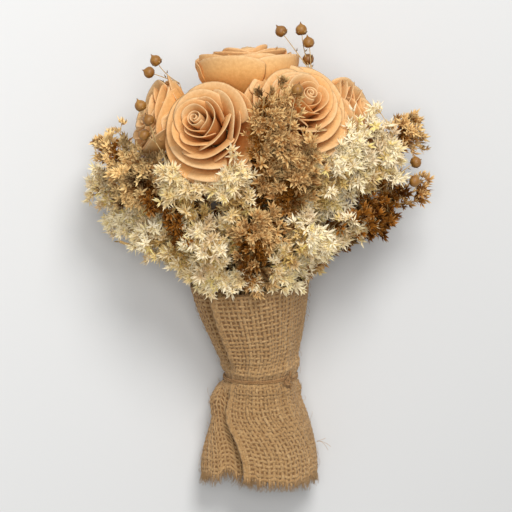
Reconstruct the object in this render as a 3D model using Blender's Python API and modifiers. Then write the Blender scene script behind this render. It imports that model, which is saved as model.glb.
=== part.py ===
"""A hand-tied posy of wood roses and dried flowers, lying on its back on a table.

The frame: +Y runs from the burlap hem to the flowers, +X to the right and +Z up from the table,
with the table at Z = 0. Everything is in metres.

Six roses of thin sola wood stand on wrapped stems. Sprays of cream statice and tan caspia form a
collar round them, and flax stems carry round seed pods. All the stems pass through one ring of
florist's tape, and a sheet of burlap is rolled round them and tied at its waist with twine.
"""

import math

import bmesh
import bpy
import numpy as np
from mathutils import Matrix, Vector

# ---------------------------------------------------------------------------------------------
# Driving dimensions
# ---------------------------------------------------------------------------------------------
GAP = 0.0003  # left between pieces that touch
MESH_UNIT = 0.001  # bevel depth of every tube, so that a point's radius is its radius in mm

# The bundle of stems: rings of stems round one in the middle, held by tape at the waist
STEM_SPACING = 0.0046
STEM_RADIUS = (STEM_SPACING - GAP) / 2
BUNDLE_RINGS = 3
TIE_Y = -0.074
TAPE_HALF_LENGTH = 0.008
TAPE_THICKNESS = 0.0011
CUT_Y = -0.104
FAN_Y = -0.024  # where the stems leave the burlap and start to fan out
CUT_SPREAD = 1.03
BEND = 0.44  # how far a stem runs on before it bends over, as a share of its reach
BEND_DROP = 0.07  # how much sooner each further ring bends
ARRIVAL = 0.20  # how far before its head a rose stem points at it
FAN_SPREAD = 1.45

# The burlap: rows of (y, centre x, centre z, half width, half height, how loose the roll is)
BURLAP_STATIONS = (
    (-0.145, 0.0035, 0.0225, 0.0352, 0.0225, 1.00),
    (-0.122, 0.0032, 0.0226, 0.0345, 0.0224, 0.90),
    (-0.096, 0.0026, 0.0236, 0.0292, 0.0218, 0.40),
    (-0.074, 0.0028, 0.0262, 0.0226, 0.0217, 0.00),
    (-0.050, 0.0012, 0.0330, 0.0282, 0.0256, 0.40),
    (-0.026, -0.0022, 0.0404, 0.0348, 0.0305, 0.90),
    (0.004, -0.0060, 0.0497, 0.0398, 0.0352, 1.00),
)
BURLAP_THICKNESS = 0.0011
BURLAP_TURN = 536.0  # degrees from the outer edge of the roll to the inner one
LAYER_STEP = 0.0016  # between the middles of two layers that lie on each other
EDGE_LIFT = 0.0032  # how far the free edge gapes where the roll is loose
SIDE_BULGE = 0.0026  # how far the roll stands out beside its lap
RIPPLE = 0.0006  # waves around the loose cloth
HEM_EDGE = -17.0  # the free edge's clock angle at the hem
TIE_EDGE = -50.0  # and from the tie upwards
HEM_Y = -0.1335
HEM_DROP = 0.0065  # the front of the hem hangs this much lower than its sides
TOP_Y = -0.0150

TWINE_RADIUS = 0.0009
TWINE_TURNS = 2
KNOT_ANGLE = 42.0
KNOT_RADIUS = 0.0019
KNOT_HALF_LENGTH = 0.0034

# A rose, in its own frame: +Z out of its face, with the origin under its petals
SHEET = 0.0010  # a petal's thickness
INNER_PETALS = ((5.2, 4.4), (9.0, 8.0), (12.4, 16.0), (14.0, 25.0), (15.4, 33.5))  # (r, z) in mm
OUTER_PETALS = ((6.4, 2.6), (13.4, 6.0), (19.4, 13.6), (22.9, 21.2), (25.6, 28.6))
PETAL_POINT = 0.10  # how much lower a petal is at its sides than at its point
INNER_OVERLAP = 0.0017
OUTER_OVERLAP = 0.0026
ROSE_RIM_Z = 0.0300
BUD_TURNS = 2.6
BUD_PITCH = 0.0028
BUD_CENTRE_RADIUS = 0.0019
BUD_BOTTOM_Z = 0.0070
BUD_TOP_Z = 0.0365
PLUG_RADIUS = 0.0042
PLUG_TOP_Z = BUD_BOTTOM_Z - GAP
CALYX_RADIUS = 0.0070
CALYX_TOP_Z = 0.0018

# name, centre of the rim, the way the rose faces, size against the profiles above, turn
ROSES = (
    ("rose_front_left", (-0.0300, 0.0770, 0.1190), (-0.36, 0.26, 0.89), 1.08, 0),
    ("rose_front_right", (0.0280, 0.0920, 0.1150), (0.32, 0.48, 0.81), 1.06, 67),
    ("rose_top", (-0.0060, 0.1200, 0.0760), (-0.06, 0.99, 0.04), 1.08, 134),
    ("rose_left", (-0.0640, 0.0860, 0.0780), (-0.91, 0.33, 0.22), 0.94, 201),
    ("rose_right", (0.0650, 0.0860, 0.0720), (0.90, 0.38, 0.20), 0.94, 268),
    ("rose_back", (0.0120, 0.0880, 0.0280), (0.10, 0.55, -0.83), 0.94, 335),
)

PLUME_START = 0.06  # share of a spray's free length that is bare stalk
PLUME_WHORLS = 5
PLUME_BLUNT = 0.20
TWIG_RADIUS = 0.0010

# name, ring of the bundle, where its tip lies, radius of its plume
SPRAYS = (
    ("caspia_centre", 2, (0.0050, 0.0940, 0.1460), 0.0110),
    ("statice_right_inner", 2, (0.0560, 0.0560, 0.1020), 0.0240),
    ("caspia_front_right", 2, (0.0220, 0.0470, 0.1140), 0.0240),
    ("statice_front_mid", 2, (-0.0140, 0.0440, 0.1180), 0.0240),
    ("statice_front_left", 2, (-0.0480, 0.0440, 0.1040), 0.0240),
    ("caspia_left_mid", 2, (-0.0760, 0.0520, 0.0840), 0.0240),
    ("caspia_left", 3, (-0.0940, 0.0720, 0.0560), 0.0240),
    ("caspia_back_left", 3, (-0.0640, 0.0740, 0.0016), 0.0240),
    ("statice_back_mid", 2, (-0.0240, 0.0800, 0.0080), 0.0180),
    ("caspia_back_mid", 2, (0.0160, 0.0640, 0.0070), 0.0180),
    ("statice_back_right", 3, (0.0540, 0.0720, 0.0016), 0.0240),
    ("caspia_right", 3, (0.0980, 0.0820, 0.0500), 0.0240),
    ("statice_right", 2, (0.0860, 0.0620, 0.0840), 0.0240),
    ("statice_low_front_left", 3, (-0.0340, 0.0140, 0.1000), 0.0240),
    ("caspia_low_front", 3, (-0.0020, 0.0160, 0.1080), 0.0240),
    ("statice_low_front_right", 3, (0.0340, 0.0160, 0.1000), 0.0240),
    ("statice_low_right", 3, (0.0660, 0.0180, 0.0780), 0.0240),
    ("statice_low_left", 3, (-0.0680, 0.0140, 0.0740), 0.0240),
    ("statice_side_left", 3, (-0.0880, 0.0220, 0.0400), 0.0240),
    ("statice_left", 3, (-0.1040, 0.0440, 0.0440), 0.0160),
    ("caspia_side_right", 3, (0.0820, 0.0220, 0.0420), 0.0240),
    ("caspia_far_right", 3, (0.1060, 0.0440, 0.0500), 0.0160),
    ("caspia_low_back_left", 3, (-0.0500, 0.0220, 0.0020), 0.0240),
    ("statice_low_back", 3, (-0.0040, 0.0260, 0.0020), 0.0240),
    ("caspia_low_back_right", 3, (0.0460, 0.0220, 0.0020), 0.0240),
)

# name, ring, where it forks, its pods
FLAX = (
    ("flax_top", 1, (0.033, 0.112, 0.086), ((0.015, 0.136, 0.090), (0.027, 0.137, 0.088),
                                            (0.032, 0.129, 0.092), (0.033, 0.120, 0.086))),
    ("flax_left", 2, (-0.047, 0.106, 0.060), ((-0.062, 0.119, 0.066), (-0.065, 0.112, 0.072),
                                              (-0.060, 0.104, 0.050))),
    ("flax_left_front", 2, (-0.060, 0.068, 0.108), ((-0.069, 0.090, 0.114), (-0.064, 0.081, 0.116),
                                                    (-0.067, 0.073, 0.110))),
    ("flax_centre", 2, (0.020, 0.074, 0.140), ((0.024, 0.098, 0.146),)),
    ("flax_right", 3, (0.088, 0.050, 0.068), ((0.098, 0.058, 0.066), (0.096, 0.044, 0.072))),
)
POD_RADIUS = 0.0035
FLAX_STALK = 0.0006
FLAX_TWIG = 0.0005

CUT_TWIG = ("cut_twig", 3, (-0.0840, 0.0090, 0.0560))

# (base colour, roughness, metallic) of each material
COLOURS = {
    "sola_wood": ((0.80, 0.52, 0.29, 1.0), 0.85, 0.0),
    "floral_tape": ((0.36, 0.27, 0.16, 1.0), 0.80, 0.0),
    "statice": ((0.76, 0.69, 0.46, 1.0), 0.90, 0.0),
    "caspia": ((0.52, 0.38, 0.21, 1.0), 0.90, 0.0),
    "flax": ((0.42, 0.26, 0.08, 1.0), 0.55, 0.0),
    "burlap": ((0.50, 0.34, 0.19, 1.0), 0.95, 0.0),
    "twine": ((0.44, 0.29, 0.15, 1.0), 0.95, 0.0),
}


# ---------------------------------------------------------------------------------------------
# Blender helpers
# ---------------------------------------------------------------------------------------------
def clear_scene():
    for obj in list(bpy.data.objects):
        bpy.data.objects.remove(obj, do_unlink=True)


def new_collection(name, rendered=True):
    collection = bpy.data.collections.new(name)
    bpy.context.scene.collection.children.link(collection)
    collection.hide_render = not rendered
    return collection


def material(name):
    found = bpy.data.materials.get(name)
    if found:
        return found
    colour, roughness, metallic = COLOURS[name]
    made = bpy.data.materials.new(name)
    made.use_nodes = True
    shader = made.node_tree.nodes["Principled BSDF"]
    shader.inputs["Base Color"].default_value = colour
    shader.inputs["Roughness"].default_value = roughness
    shader.inputs["Metallic"].default_value = metallic
    made.diffuse_color = colour
    return made


def link(obj, finish, collection):
    obj.data.materials.append(material(finish))
    collection.objects.link(obj)
    return obj


def tube_curve(name, points, radii, sides=8):
    """A POLY curve whose bevel has its own radius at each point, with closed ends."""
    data = bpy.data.curves.new(name, "CURVE")
    data.dimensions = "3D"
    data.bevel_depth = MESH_UNIT
    data.bevel_resolution = sides // 2 - 2
    data.use_fill_caps = True
    spline = data.splines.new("POLY")
    spline.points.add(len(points) - 1)
    for knot, place, radius in zip(spline.points, points, radii):
        knot.co = (*place, 1.0)
        knot.radius = radius / MESH_UNIT
    return bpy.data.objects.new(name, data)


def solid_from_curve(curve_object, name):
    """The curve's tube as a welded mesh, which a Boolean can take."""
    bpy.context.scene.collection.objects.link(curve_object)
    bpy.context.view_layer.update()
    graph = bpy.context.evaluated_depsgraph_get()
    mesh = bpy.data.meshes.new_from_object(curve_object.evaluated_get(graph))
    weld(mesh)
    made = bpy.data.objects.new(name, mesh)
    made.matrix_world = curve_object.matrix_world
    bpy.data.objects.remove(curve_object, do_unlink=True)
    return made


def weld(mesh, distance=1e-6):
    work = bmesh.new()
    work.from_mesh(mesh)
    bmesh.ops.remove_doubles(work, verts=work.verts, dist=distance)
    bmesh.ops.recalc_face_normals(work, faces=work.faces)
    work.to_mesh(mesh)
    work.free()


def unite(base, others, helpers):
    """Joins others to base with Boolean modifiers, and keeps them as hidden helpers."""
    for other in others:
        helpers.objects.link(other)
        other.hide_render = True
        other.display_type = "WIRE"
        join = base.modifiers.new("join_" + other.name, "BOOLEAN")
        join.operation = "UNION"
        join.object = other


def sheet_object(name, rows, thickness, wrap_round):
    """An open grid of points made into a sheet with Solidify. wrap_round closes each row."""
    across = len(rows[0])
    vertices = [point for row in rows for point in row]
    faces = []
    for j in range(len(rows) - 1):
        for i in range(across if wrap_round else across - 1):
            k = (i + 1) % across
            faces.append((j * across + i, j * across + k, (j + 1) * across + k, (j + 1) * across + i))
    mesh = bpy.data.meshes.new(name)
    mesh.from_pydata(vertices, [], faces)
    mesh.shade_smooth()
    made = bpy.data.objects.new(name, mesh)
    thicken = made.modifiers.new("sheet", "SOLIDIFY")
    thicken.thickness = thickness
    thicken.offset = 0.0
    thicken.use_rim = True
    return made


# ---------------------------------------------------------------------------------------------
# Curves and frames
# ---------------------------------------------------------------------------------------------
def smooth_step(value):
    value = min(1.0, max(0.0, value))
    return value * value * (3 - 2 * value)


def through_stations(stations, y):
    """Values at y on a smooth curve through rows that start with their y."""
    y = min(max(y, stations[0][0]), stations[-1][0])
    last = len(stations) - 1
    i = next(k for k in range(last) if y <= stations[k + 1][0])
    before, low, high, after = (stations[min(max(k, 0), last)] for k in (i - 1, i, i + 1, i + 2))
    width = high[0] - low[0]
    t = (y - low[0]) / width
    made = []
    for a, p, q, b in list(zip(before, low, high, after))[1:]:
        rise = (q - a) / (high[0] - before[0]) * width
        fall = (b - p) / (after[0] - low[0]) * width
        made.append(
            (2 * t**3 - 3 * t**2 + 1) * p
            + (t**3 - 2 * t**2 + t) * rise
            + (3 * t**2 - 2 * t**3) * q
            + (t**3 - t**2) * fall
        )
    return made


def roll_centre(y):
    x, z = through_stations(BURLAP_STATIONS, y)[:2]
    return Vector((x, y, z))


def roll_frame(y):
    """Centre of the roll at y, and the three directions right, up and along it."""
    step = 0.002
    along = (roll_centre(y + step) - roll_centre(y - step)).normalized()
    right = (Vector((1, 0, 0)) - along * along.x).normalized()
    return roll_centre(y), right, right.cross(along), along


def bezier(a, b, c, t):
    return a * (1 - t) ** 2 + b * 2 * t * (1 - t) + c * t**2


# ---------------------------------------------------------------------------------------------
# The bundle: every stem runs from its cut end through the tape to its own head
# ---------------------------------------------------------------------------------------------
def clock_of(place):
    """Angle of a head round the bundle's axis: 0 towards +Z, 90 degrees towards +X."""
    centre, right, up, along = roll_frame(FAN_Y)
    across = Vector(place) - centre
    return math.degrees(math.atan2(across.dot(right), across.dot(up)))


def bundle_slots(heads):
    """Each head's place in the bundle, as (right, up) from its axis. heads: name to (ring, place)."""
    slots = {}
    for ring in range(1, BUNDLE_RINGS + 1):
        members = sorted((clock_of(place), name) for name, (r, place) in heads.items() if r == ring)
        step = 360 / len(members)
        turn = sum(clock - i * step for i, (clock, _) in enumerate(members)) / len(members)
        for i, (_, name) in enumerate(members):
            angle = math.radians(turn + i * step)
            radius = ring * STEM_SPACING
            slots[name] = (radius * math.sin(angle), radius * math.cos(angle))
    slots.update({name: (0.0, 0.0) for name, (r, _) in heads.items() if r == 0})
    return slots


def bundle_path(slot):
    """The stem's points from its cut end to where it leaves the burlap."""
    tie, right, up, along = roll_frame(TIE_Y)
    offset = right * slot[0] + up * slot[1]
    path = []
    cut, cut_right, cut_up, _ = roll_frame(CUT_Y)
    path.append(cut + (cut_right * slot[0] + cut_up * slot[1]) * CUT_SPREAD)
    path.append(tie - along * TAPE_HALF_LENGTH + offset)
    path.append(tie + along * TAPE_HALF_LENGTH + offset)
    fan, fan_right, fan_up, _ = roll_frame(FAN_Y)
    path.append(fan + (fan_right * slot[0] + fan_up * slot[1]) * FAN_SPREAD)
    return path


def free_path(slot, tip, arrival=None, count=48):
    """Dense points from the burlap's mouth to tip. The stem leaves along the fan and bends over."""
    start = bundle_path(slot)[-1]
    leaving = (start - bundle_path(slot)[-2]).normalized()
    reach = (tip - start).length
    if arrival is None:
        sooner = BEND_DROP * math.hypot(*slot) / STEM_SPACING
        bend = start + leaving * reach * (BEND - sooner)
        return [bezier(start, bend, tip, k / count) for k in range(1, count + 1)]
    near, far = start + leaving * reach * 0.40, tip - arrival * reach * ARRIVAL
    made = []
    for k in range(1, count + 1):
        t = k / count
        made.append(
            start * (1 - t) ** 3 + near * 3 * t * (1 - t) ** 2 + far * 3 * t * t * (1 - t) + tip * t**3
        )
    return made


# ---------------------------------------------------------------------------------------------
# Roses
# ---------------------------------------------------------------------------------------------
def rose_matrix(rim, facing, size):
    """From the rose's own frame to the world: its rim's centre lies at rim."""
    out = Vector(facing).normalized()
    turn = out.to_track_quat("Z", "Y").to_matrix().to_4x4()
    base = Vector(rim) - out * ROSE_RIM_Z * size
    return Matrix.Translation(base) @ turn @ Matrix.Scale(size, 4)


def petal_ring(name, profile, petals, overlap, turn):
    """A ring of petals, each lapping over the next, as one sheet that steps in at each petal's edge."""
    shares = (0.0, 0.32, 0.64, 0.95)
    rows = []
    for level, (radius, height) in enumerate(profile):
        share = level / (len(profile) - 1)
        row = []
        for petal in range(petals):
            for across in shares:
                angle = math.radians(turn) + 2 * math.pi * (petal + across) / petals
                crown = 1 - PETAL_POINT * share**2 * abs(2 * across - 1) ** 2.5
                r = radius / 1000 + overlap * share * across
                row.append((r * math.cos(angle), r * math.sin(angle), height / 1000 * crown))
        rows.append(row)
    return sheet_object(name, rows, SHEET, True)


def rolled_bud(name, turn):
    """The heart of the rose: one strip rolled up, narrow at its foot."""
    columns = 22
    swell = ((0.00, 0.50), (0.45, 0.92), (1.00, 0.98))
    rows = []
    for share, width in swell:
        row = []
        for i in range(columns + 1):
            wound = BUD_TURNS * i / columns
            angle = math.radians(turn) + 2 * math.pi * wound
            r = (BUD_CENTRE_RADIUS + BUD_PITCH * wound) * width
            top = BUD_TOP_Z - 0.0035 * (wound / BUD_TURNS) ** 2
            z = BUD_BOTTOM_Z + (top - BUD_BOTTOM_Z) * share
            row.append((r * math.cos(angle), r * math.sin(angle), z))
        rows.append(row)
    return sheet_object(name, rows, SHEET * 0.8, False)


def rose_stem(name, matrix, size, slot):
    """The wrapped stem with the calyx that carries the petals and the plug inside them."""
    out = (matrix.to_3x3() @ Vector((0, 0, 1))).normalized()
    foot = matrix @ Vector((0, 0, -0.009))
    free = free_path(slot, foot, out, 6)
    bundle = bundle_path(slot)
    points = bundle + free
    radii = [STEM_RADIUS] * 3 + [0.0019] * (len(points) - 3)
    head = (
        (-0.0030, 0.0030),
        (0.0004, CALYX_RADIUS),
        (CALYX_TOP_Z, CALYX_RADIUS),
        (CALYX_TOP_Z + 0.0002, PLUG_RADIUS),
        (PLUG_TOP_Z, PLUG_RADIUS),
    )
    points += [matrix @ Vector((0, 0, z)) for z, _ in head]
    radii += [r * size for _, r in head]
    return tube_curve(name, points, radii)


def build_rose(name, rim, facing, size, slot, turn, collection):
    matrix = rose_matrix(rim, facing, size)
    pieces = (
        rolled_bud(name + "_bud", turn),
        petal_ring(name + "_inner_petals", INNER_PETALS, 5, INNER_OVERLAP, turn + 20),
        petal_ring(name + "_outer_petals", OUTER_PETALS, 5, OUTER_OVERLAP, turn + 55),
    )
    for piece in pieces:
        piece.data.transform(matrix)
        link(piece, "sola_wood", collection)
    link(rose_stem(name + "_stem", matrix, size, slot), "floral_tape", collection)


# ---------------------------------------------------------------------------------------------
# The room that a spray has between its neighbours
# ---------------------------------------------------------------------------------------------
def as_array(points):
    return np.array([tuple(p) for p in points])


def nearest(points, others):
    """For each of points, its distance to the nearest of others."""
    return np.linalg.norm(points[:, None, :] - others[None, :, :], axis=2).min(axis=1)


def room_beside_rose(points, rim, facing, size):
    """Distance from each point to the outside of a rose, and less than 0 inside it."""
    inverse = rose_matrix(rim, facing, size).inverted()
    local = as_array([inverse @ Vector(p) for p in points])
    across = np.hypot(local[:, 0], local[:, 1])
    outline = [(r / 1000 + OUTER_OVERLAP + SHEET / 2, z / 1000) for r, z in OUTER_PETALS]
    rim_radius = outline[-1][0]
    outline += [(rim_radius, BUD_TOP_Z)]
    ends = [(0.0, -0.004)] + outline + [(0.0, BUD_TOP_Z)]
    dense = []
    for (r0, z0), (r1, z1) in zip(ends, ends[1:]):
        dense += [(r0 + (r1 - r0) * k / 8, z0 + (z1 - z0) * k / 8) for k in range(8)]
    dense = np.array(dense + [ends[-1]])
    away = nearest(np.column_stack([across, local[:, 2]]), dense)
    wide = np.interp(local[:, 2], [z for _, z in ends[1:-1]], [r for r, _ in ends[1:-1]])
    inside = (across < wide) & (local[:, 2] > 0) & (local[:, 2] < BUD_TOP_Z)
    return np.where(inside, -away, away) * size


def station_of(point):
    """The y of the roll's section that the point lies in."""
    y = point[1]
    for _ in range(4):
        centre, _, _, along = roll_frame(y)
        y += (Vector(point) - centre).dot(along) * along.y
    return y


def room_at_burlap(points):
    """Distance from each point to the burlap: its inner layer, or its mouth from outside."""
    made = []
    for point in points:
        y = station_of(point)
        past = max(0.0, y - TOP_Y)
        if past > 0.025:
            made.append(1.0)
            continue
        y = min(y, TOP_Y)
        centre, right, up, _ = roll_frame(y)
        wide, high = through_stations(BURLAP_STATIONS, y)[2:4]
        across = Vector(point) - centre
        across = Vector((across.dot(right), across.dot(up)))
        angle = math.atan2(across.x / wide, across.y / high)
        wall = Vector((wide * math.sin(angle), high * math.cos(angle))).length
        inside = wall - across.length - LAYER_STEP - EDGE_LIFT - RIPPLE - 1.5 * BURLAP_THICKNESS
        made.append(math.hypot(past, max(inside, 0.0)) if past else inside)
    return np.array(made)


# ---------------------------------------------------------------------------------------------
# Sprays, flax and the cut twig
# ---------------------------------------------------------------------------------------------
def plume_radius(share, widest):
    """The plume's radius along the spray's free length: a drop shape with a round tip."""
    if share <= PLUME_START:
        return TWIG_RADIUS
    along = (share - PLUME_START) / (1 - PLUME_START)
    drop = math.sqrt(max(0.0, 4 * along * (1 - along)))
    blunt = 1 - along**6
    return max(TWIG_RADIUS, widest * (PLUME_BLUNT * blunt + (1 - PLUME_BLUNT) * drop))


def spray_curve(name, slot, dense, room, widest):
    """The stem in the bundle, then the plume, whorl by whorl, as wide as its room lets it be."""
    knots = 2 * PLUME_WHORLS + 3
    points = bundle_path(slot)
    radii = [STEM_RADIUS, STEM_RADIUS, STEM_RADIUS, 0.0014]
    reach = len(dense) // knots // 2
    for k in range(1, knots + 1):
        i = round(k / knots * (len(dense) - 1))
        share = (i + 1) / len(dense)
        free = room[max(0, i - reach) : i + reach + 1].min()
        whorl = 1.0 if k % 2 or k == knots else 0.80
        points.append(dense[i])
        radii.append(max(TWIG_RADIUS * 0.8, min(plume_radius(share, widest) * whorl, free)))
    return tube_curve(name, points, radii, 6)


def flax_solid(name, slot, fork, pods, helpers):
    """A thin stalk that forks. Each branch ends in a round pod with a pointed tip."""
    fork = Vector(fork)
    stalk = bundle_path(slot) + free_path(slot, fork, None, 7)
    thins = [STEM_RADIUS, STEM_RADIUS, STEM_RADIUS, 0.0012]
    thins += [0.0012 + (FLAX_STALK - 0.0012) * k / 6 for k in range(7)]
    branches = []
    for k, pod in enumerate(pods):
        pod = Vector(pod)
        away = (pod - fork).normalized()
        bow = fork + (pod - fork) * 0.5 + Vector((0, 0, 0.0015))
        twig = [bezier(fork, bow, pod - away * POD_RADIUS, t) for t in (0.0, 0.35, 0.7, 1.0)]
        out = (twig[-1] - twig[-2]).normalized()
        outline = ((0.08, 0.30), (0.35, 0.82), (1.0, 1.0), (1.55, 0.78), (1.9, 0.36), (2.3, 0.10))
        points = twig + [twig[-1] + out * POD_RADIUS * z for z, _ in outline]
        radii = [FLAX_TWIG] * 4 + [POD_RADIUS * r for _, r in outline]
        branches.append(solid_from_curve(tube_curve("pod", points, radii, 6), f"{name}_branch_{k + 1}"))
    made = solid_from_curve(tube_curve("stalk", stalk, thins, 6), name)
    unite(made, branches, helpers)
    return made


# ---------------------------------------------------------------------------------------------
# Tape, burlap and twine
# ---------------------------------------------------------------------------------------------
def tape_ring():
    """Florist's tape round the bundle: a turned ring on the bundle's own axis."""
    inner = BUNDLE_RINGS * STEM_SPACING + STEM_RADIUS + GAP
    half = TAPE_HALF_LENGTH - 0.0010
    mesh = bpy.data.meshes.new("stem_tape")
    outline = ((inner, 0, half), (inner + TAPE_THICKNESS, 0, half),
               (inner + TAPE_THICKNESS, 0, -half), (inner, 0, -half))
    mesh.from_pydata(outline, [(0, 1), (1, 2), (2, 3), (3, 0)], [])
    made = bpy.data.objects.new("stem_tape", mesh)
    turn = made.modifiers.new("turn", "SCREW")
    turn.steps = turn.render_steps = 28
    turn.merge_threshold = 1e-5
    turn.use_merge_vertices = True
    centre, right, up, along = roll_frame(TIE_Y)
    made.matrix_world = Matrix.Translation(centre) @ Matrix((right, up, -along)).transposed().to_4x4()
    return made


def edge_angle(y):
    """Where the roll's free edge lies, in degrees from the top, towards the right."""
    return HEM_EDGE + (TIE_EDGE - HEM_EDGE) * smooth_step((y - HEM_Y) / (TIE_Y - HEM_Y))


def burlap_point(turned, y):
    """A point on the middle of the sheet, turned degrees on from the roll's free edge."""
    centre, right, up, _ = roll_frame(y)
    wide, high, loose = through_stations(BURLAP_STATIONS, y)[2:]
    loose = max(0.0, loose - 0.04)
    angle = math.radians(edge_angle(y) + turned)
    step = LAYER_STEP + EDGE_LIFT * loose
    tucked = step * smooth_step((turned - 285) / 70)
    inner_share = smooth_step((turned - 370) / (BURLAP_TURN - 370))
    to_tape = wide - (BUNDLE_RINGS * STEM_SPACING + STEM_RADIUS + TAPE_THICKNESS)
    to_tape = min(to_tape, high - (BUNDLE_RINGS * STEM_SPACING + STEM_RADIUS + TAPE_THICKNESS))
    tucked += max(0.0, to_tape - step - 2 * GAP - BURLAP_THICKNESS) * inner_share * (1 - loose) ** 2
    bulge = SIDE_BULGE * loose * math.sin(math.pi * min(1, max(0, (turned - 190) / 150))) ** 2
    ripple = RIPPLE * loose * math.sin(3 * angle + 1.1)
    off = bulge + ripple - tucked - BURLAP_THICKNESS / 2
    return centre + right * (wide + off) * math.sin(angle) + up * (high + off) * math.cos(angle)


def burlap_sheet():
    """The rolled sheet, from its free edge in front to its inner edge against the tape."""
    across, rows = 34, 12
    grid = []
    for j in range(rows + 1):
        row = []
        for i in range(across + 1):
            turned = BURLAP_TURN * i / across
            angle = math.radians(edge_angle(HEM_Y) + turned)
            hem = HEM_Y - HEM_DROP * (0.5 + 0.5 * math.cos(angle))
            y = hem + (TOP_Y - hem) * j / rows
            row.append(burlap_point(turned, y))
        grid.append(row)
    return sheet_object("burlap_wrap", grid, BURLAP_THICKNESS, False)


def twine_point(turned, y, out=0.0):
    """A point of the twine on the outside of the roll, where the free edge makes no step."""
    centre, right, up, _ = roll_frame(y)
    wide, high, _ = through_stations(BURLAP_STATIONS, y)[2:]
    angle = math.radians(turned)
    off = 2 * GAP + TWINE_RADIUS * 1.10 + out
    return centre + right * (wide + off) * math.sin(angle) + up * (high + off) * math.cos(angle)


def twine_solid(helpers):
    """Two turns round the waist, a knot and its two short ends, as one string."""
    pitch = 2 * TWINE_RADIUS + 0.0004
    start_y = TIE_Y - pitch * TWINE_TURNS / 2
    steps = 18 * TWINE_TURNS
    points = [
        twine_point(KNOT_ANGLE + 360 * TWINE_TURNS * k / steps, start_y + pitch * TWINE_TURNS * k / steps)
        for k in range(steps + 1)
    ]
    made = solid_from_curve(tube_curve("turns", points, [TWINE_RADIUS] * len(points), 6), "twine")
    lump = ((-1.0, 0.45), (-0.7, 0.90), (-0.25, 1.00), (0.30, 0.96), (0.7, 0.86), (1.0, 0.42))
    knot = [twine_point(KNOT_ANGLE, TIE_Y + KNOT_HALF_LENGTH * along, 0.0008) for along, _ in lump]
    widths = [KNOT_RADIUS * share for _, share in lump]
    extras = [solid_from_curve(tube_curve("knot", knot, widths), "twine_knot")]
    for side, lift in ((-1, 0.0010), (1, 0.0014)):
        tail = [
            twine_point(KNOT_ANGLE + 6 * t, TIE_Y + side * (0.002 + 0.010 * t), lift + 0.0020 * t)
            for t in (0.0, 0.3, 0.65, 1.0)
        ]
        strand = tube_curve("tail", tail, [TWINE_RADIUS * 0.9] * 4, 6)
        extras.append(solid_from_curve(strand, f"twine_tail_{side}"))
    unite(made, extras, helpers)
    return made


# ---------------------------------------------------------------------------------------------
# The whole posy
# ---------------------------------------------------------------------------------------------
def lay_on_table(collection):
    """Parents everything to one empty, and moves it until the posy's box stands on the origin."""
    posy = bpy.data.objects.new("posy", None)
    pieces = list(bpy.data.objects)
    collection.objects.link(posy)
    for piece in pieces:
        if piece is not posy:
            piece.parent = posy
    bpy.context.view_layer.update()
    graph = bpy.context.evaluated_depsgraph_get()
    corners = []
    for piece in collection.objects:
        if piece is not posy:
            found = piece.evaluated_get(graph)
            corners += [found.matrix_world @ Vector(corner) for corner in found.bound_box]
    low = Vector(min(corner[axis] for corner in corners) for axis in range(3))
    high = Vector(max(corner[axis] for corner in corners) for axis in range(3))
    posy.location = (-(low.x + high.x) / 2, -(low.y + high.y) / 2, -low.z)


def main():
    clear_scene()
    bouquet = new_collection("wood_rose_bouquet")
    helpers = new_collection("helpers")

    heads = {"rose_top": (0, ROSES[2][1])}
    heads.update({name: (1, rim) for name, rim, _, _, _ in ROSES if name != "rose_top"})
    heads.update({name: (ring, tip) for name, ring, tip, _ in SPRAYS})
    heads.update({name: (ring, fork) for name, ring, fork, _ in FLAX})
    heads[CUT_TWIG[0]] = CUT_TWIG[1:]
    slots = bundle_slots(heads)

    for name, rim, facing, size, turn in ROSES:
        build_rose(name, rim, facing, size, slots[name], turn, bouquet)

    fixed = []
    for name, rim, facing, size, _ in ROSES:
        matrix = rose_matrix(rim, facing, size)
        out = (matrix.to_3x3() @ Vector((0, 0, 1))).normalized()
        fixed.append((free_path(slots[name], matrix @ Vector((0, 0, -0.009)), out, 60), 0.0019))
    for name, _, fork, pods in FLAX:
        fixed.append((free_path(slots[name], Vector(fork), None, 60), 0.0010))
        for pod in pods:
            way = [Vector(fork).lerp(Vector(pod), k / 12) for k in range(13)]
            fixed.append((way, FLAX_TWIG + 0.0008))
            fixed.append(([Vector(pod)], POD_RADIUS * 1.2))
    twig_path = free_path(slots[CUT_TWIG[0]], Vector(CUT_TWIG[2]), None, 60)
    fixed.append((twig_path, TWIG_RADIUS))

    dense = {name: free_path(slots[name], Vector(tip)) for name, _, tip, _ in SPRAYS}
    for name, _, tip, widest in SPRAYS:
        here = as_array(dense[name])
        room = np.minimum(room_at_burlap(here), here[:, 2] - GAP)
        for other, path in dense.items():
            if other != name:
                room = np.minimum(room, nearest(here, as_array(path)) / 2 - GAP)
        for path, radius in fixed:
            room = np.minimum(room, nearest(here, as_array(path)) - radius - 2 * GAP)
        for _, rim, facing, size, _ in ROSES:
            room = np.minimum(room, room_beside_rose(dense[name], rim, facing, size) - GAP)
        finish = name.split("_")[0]
        link(spray_curve(name, slots[name], dense[name], room, widest), finish, bouquet)

    for name, _, fork, pods in FLAX:
        link(flax_solid(name, slots[name], fork, pods, helpers), "flax", bouquet)
    twig = bundle_path(slots[CUT_TWIG[0]]) + free_path(slots[CUT_TWIG[0]], Vector(CUT_TWIG[2]), None, 6)
    radii = [STEM_RADIUS] * 3 + [0.0013] + [TWIG_RADIUS] * 6
    link(tube_curve(CUT_TWIG[0], twig, radii), "caspia", bouquet)

    link(tape_ring(), "floral_tape", bouquet)
    link(burlap_sheet(), "burlap", bouquet)
    link(twine_solid(helpers), "twine", bouquet)
    lay_on_table(bouquet)


main()
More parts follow.
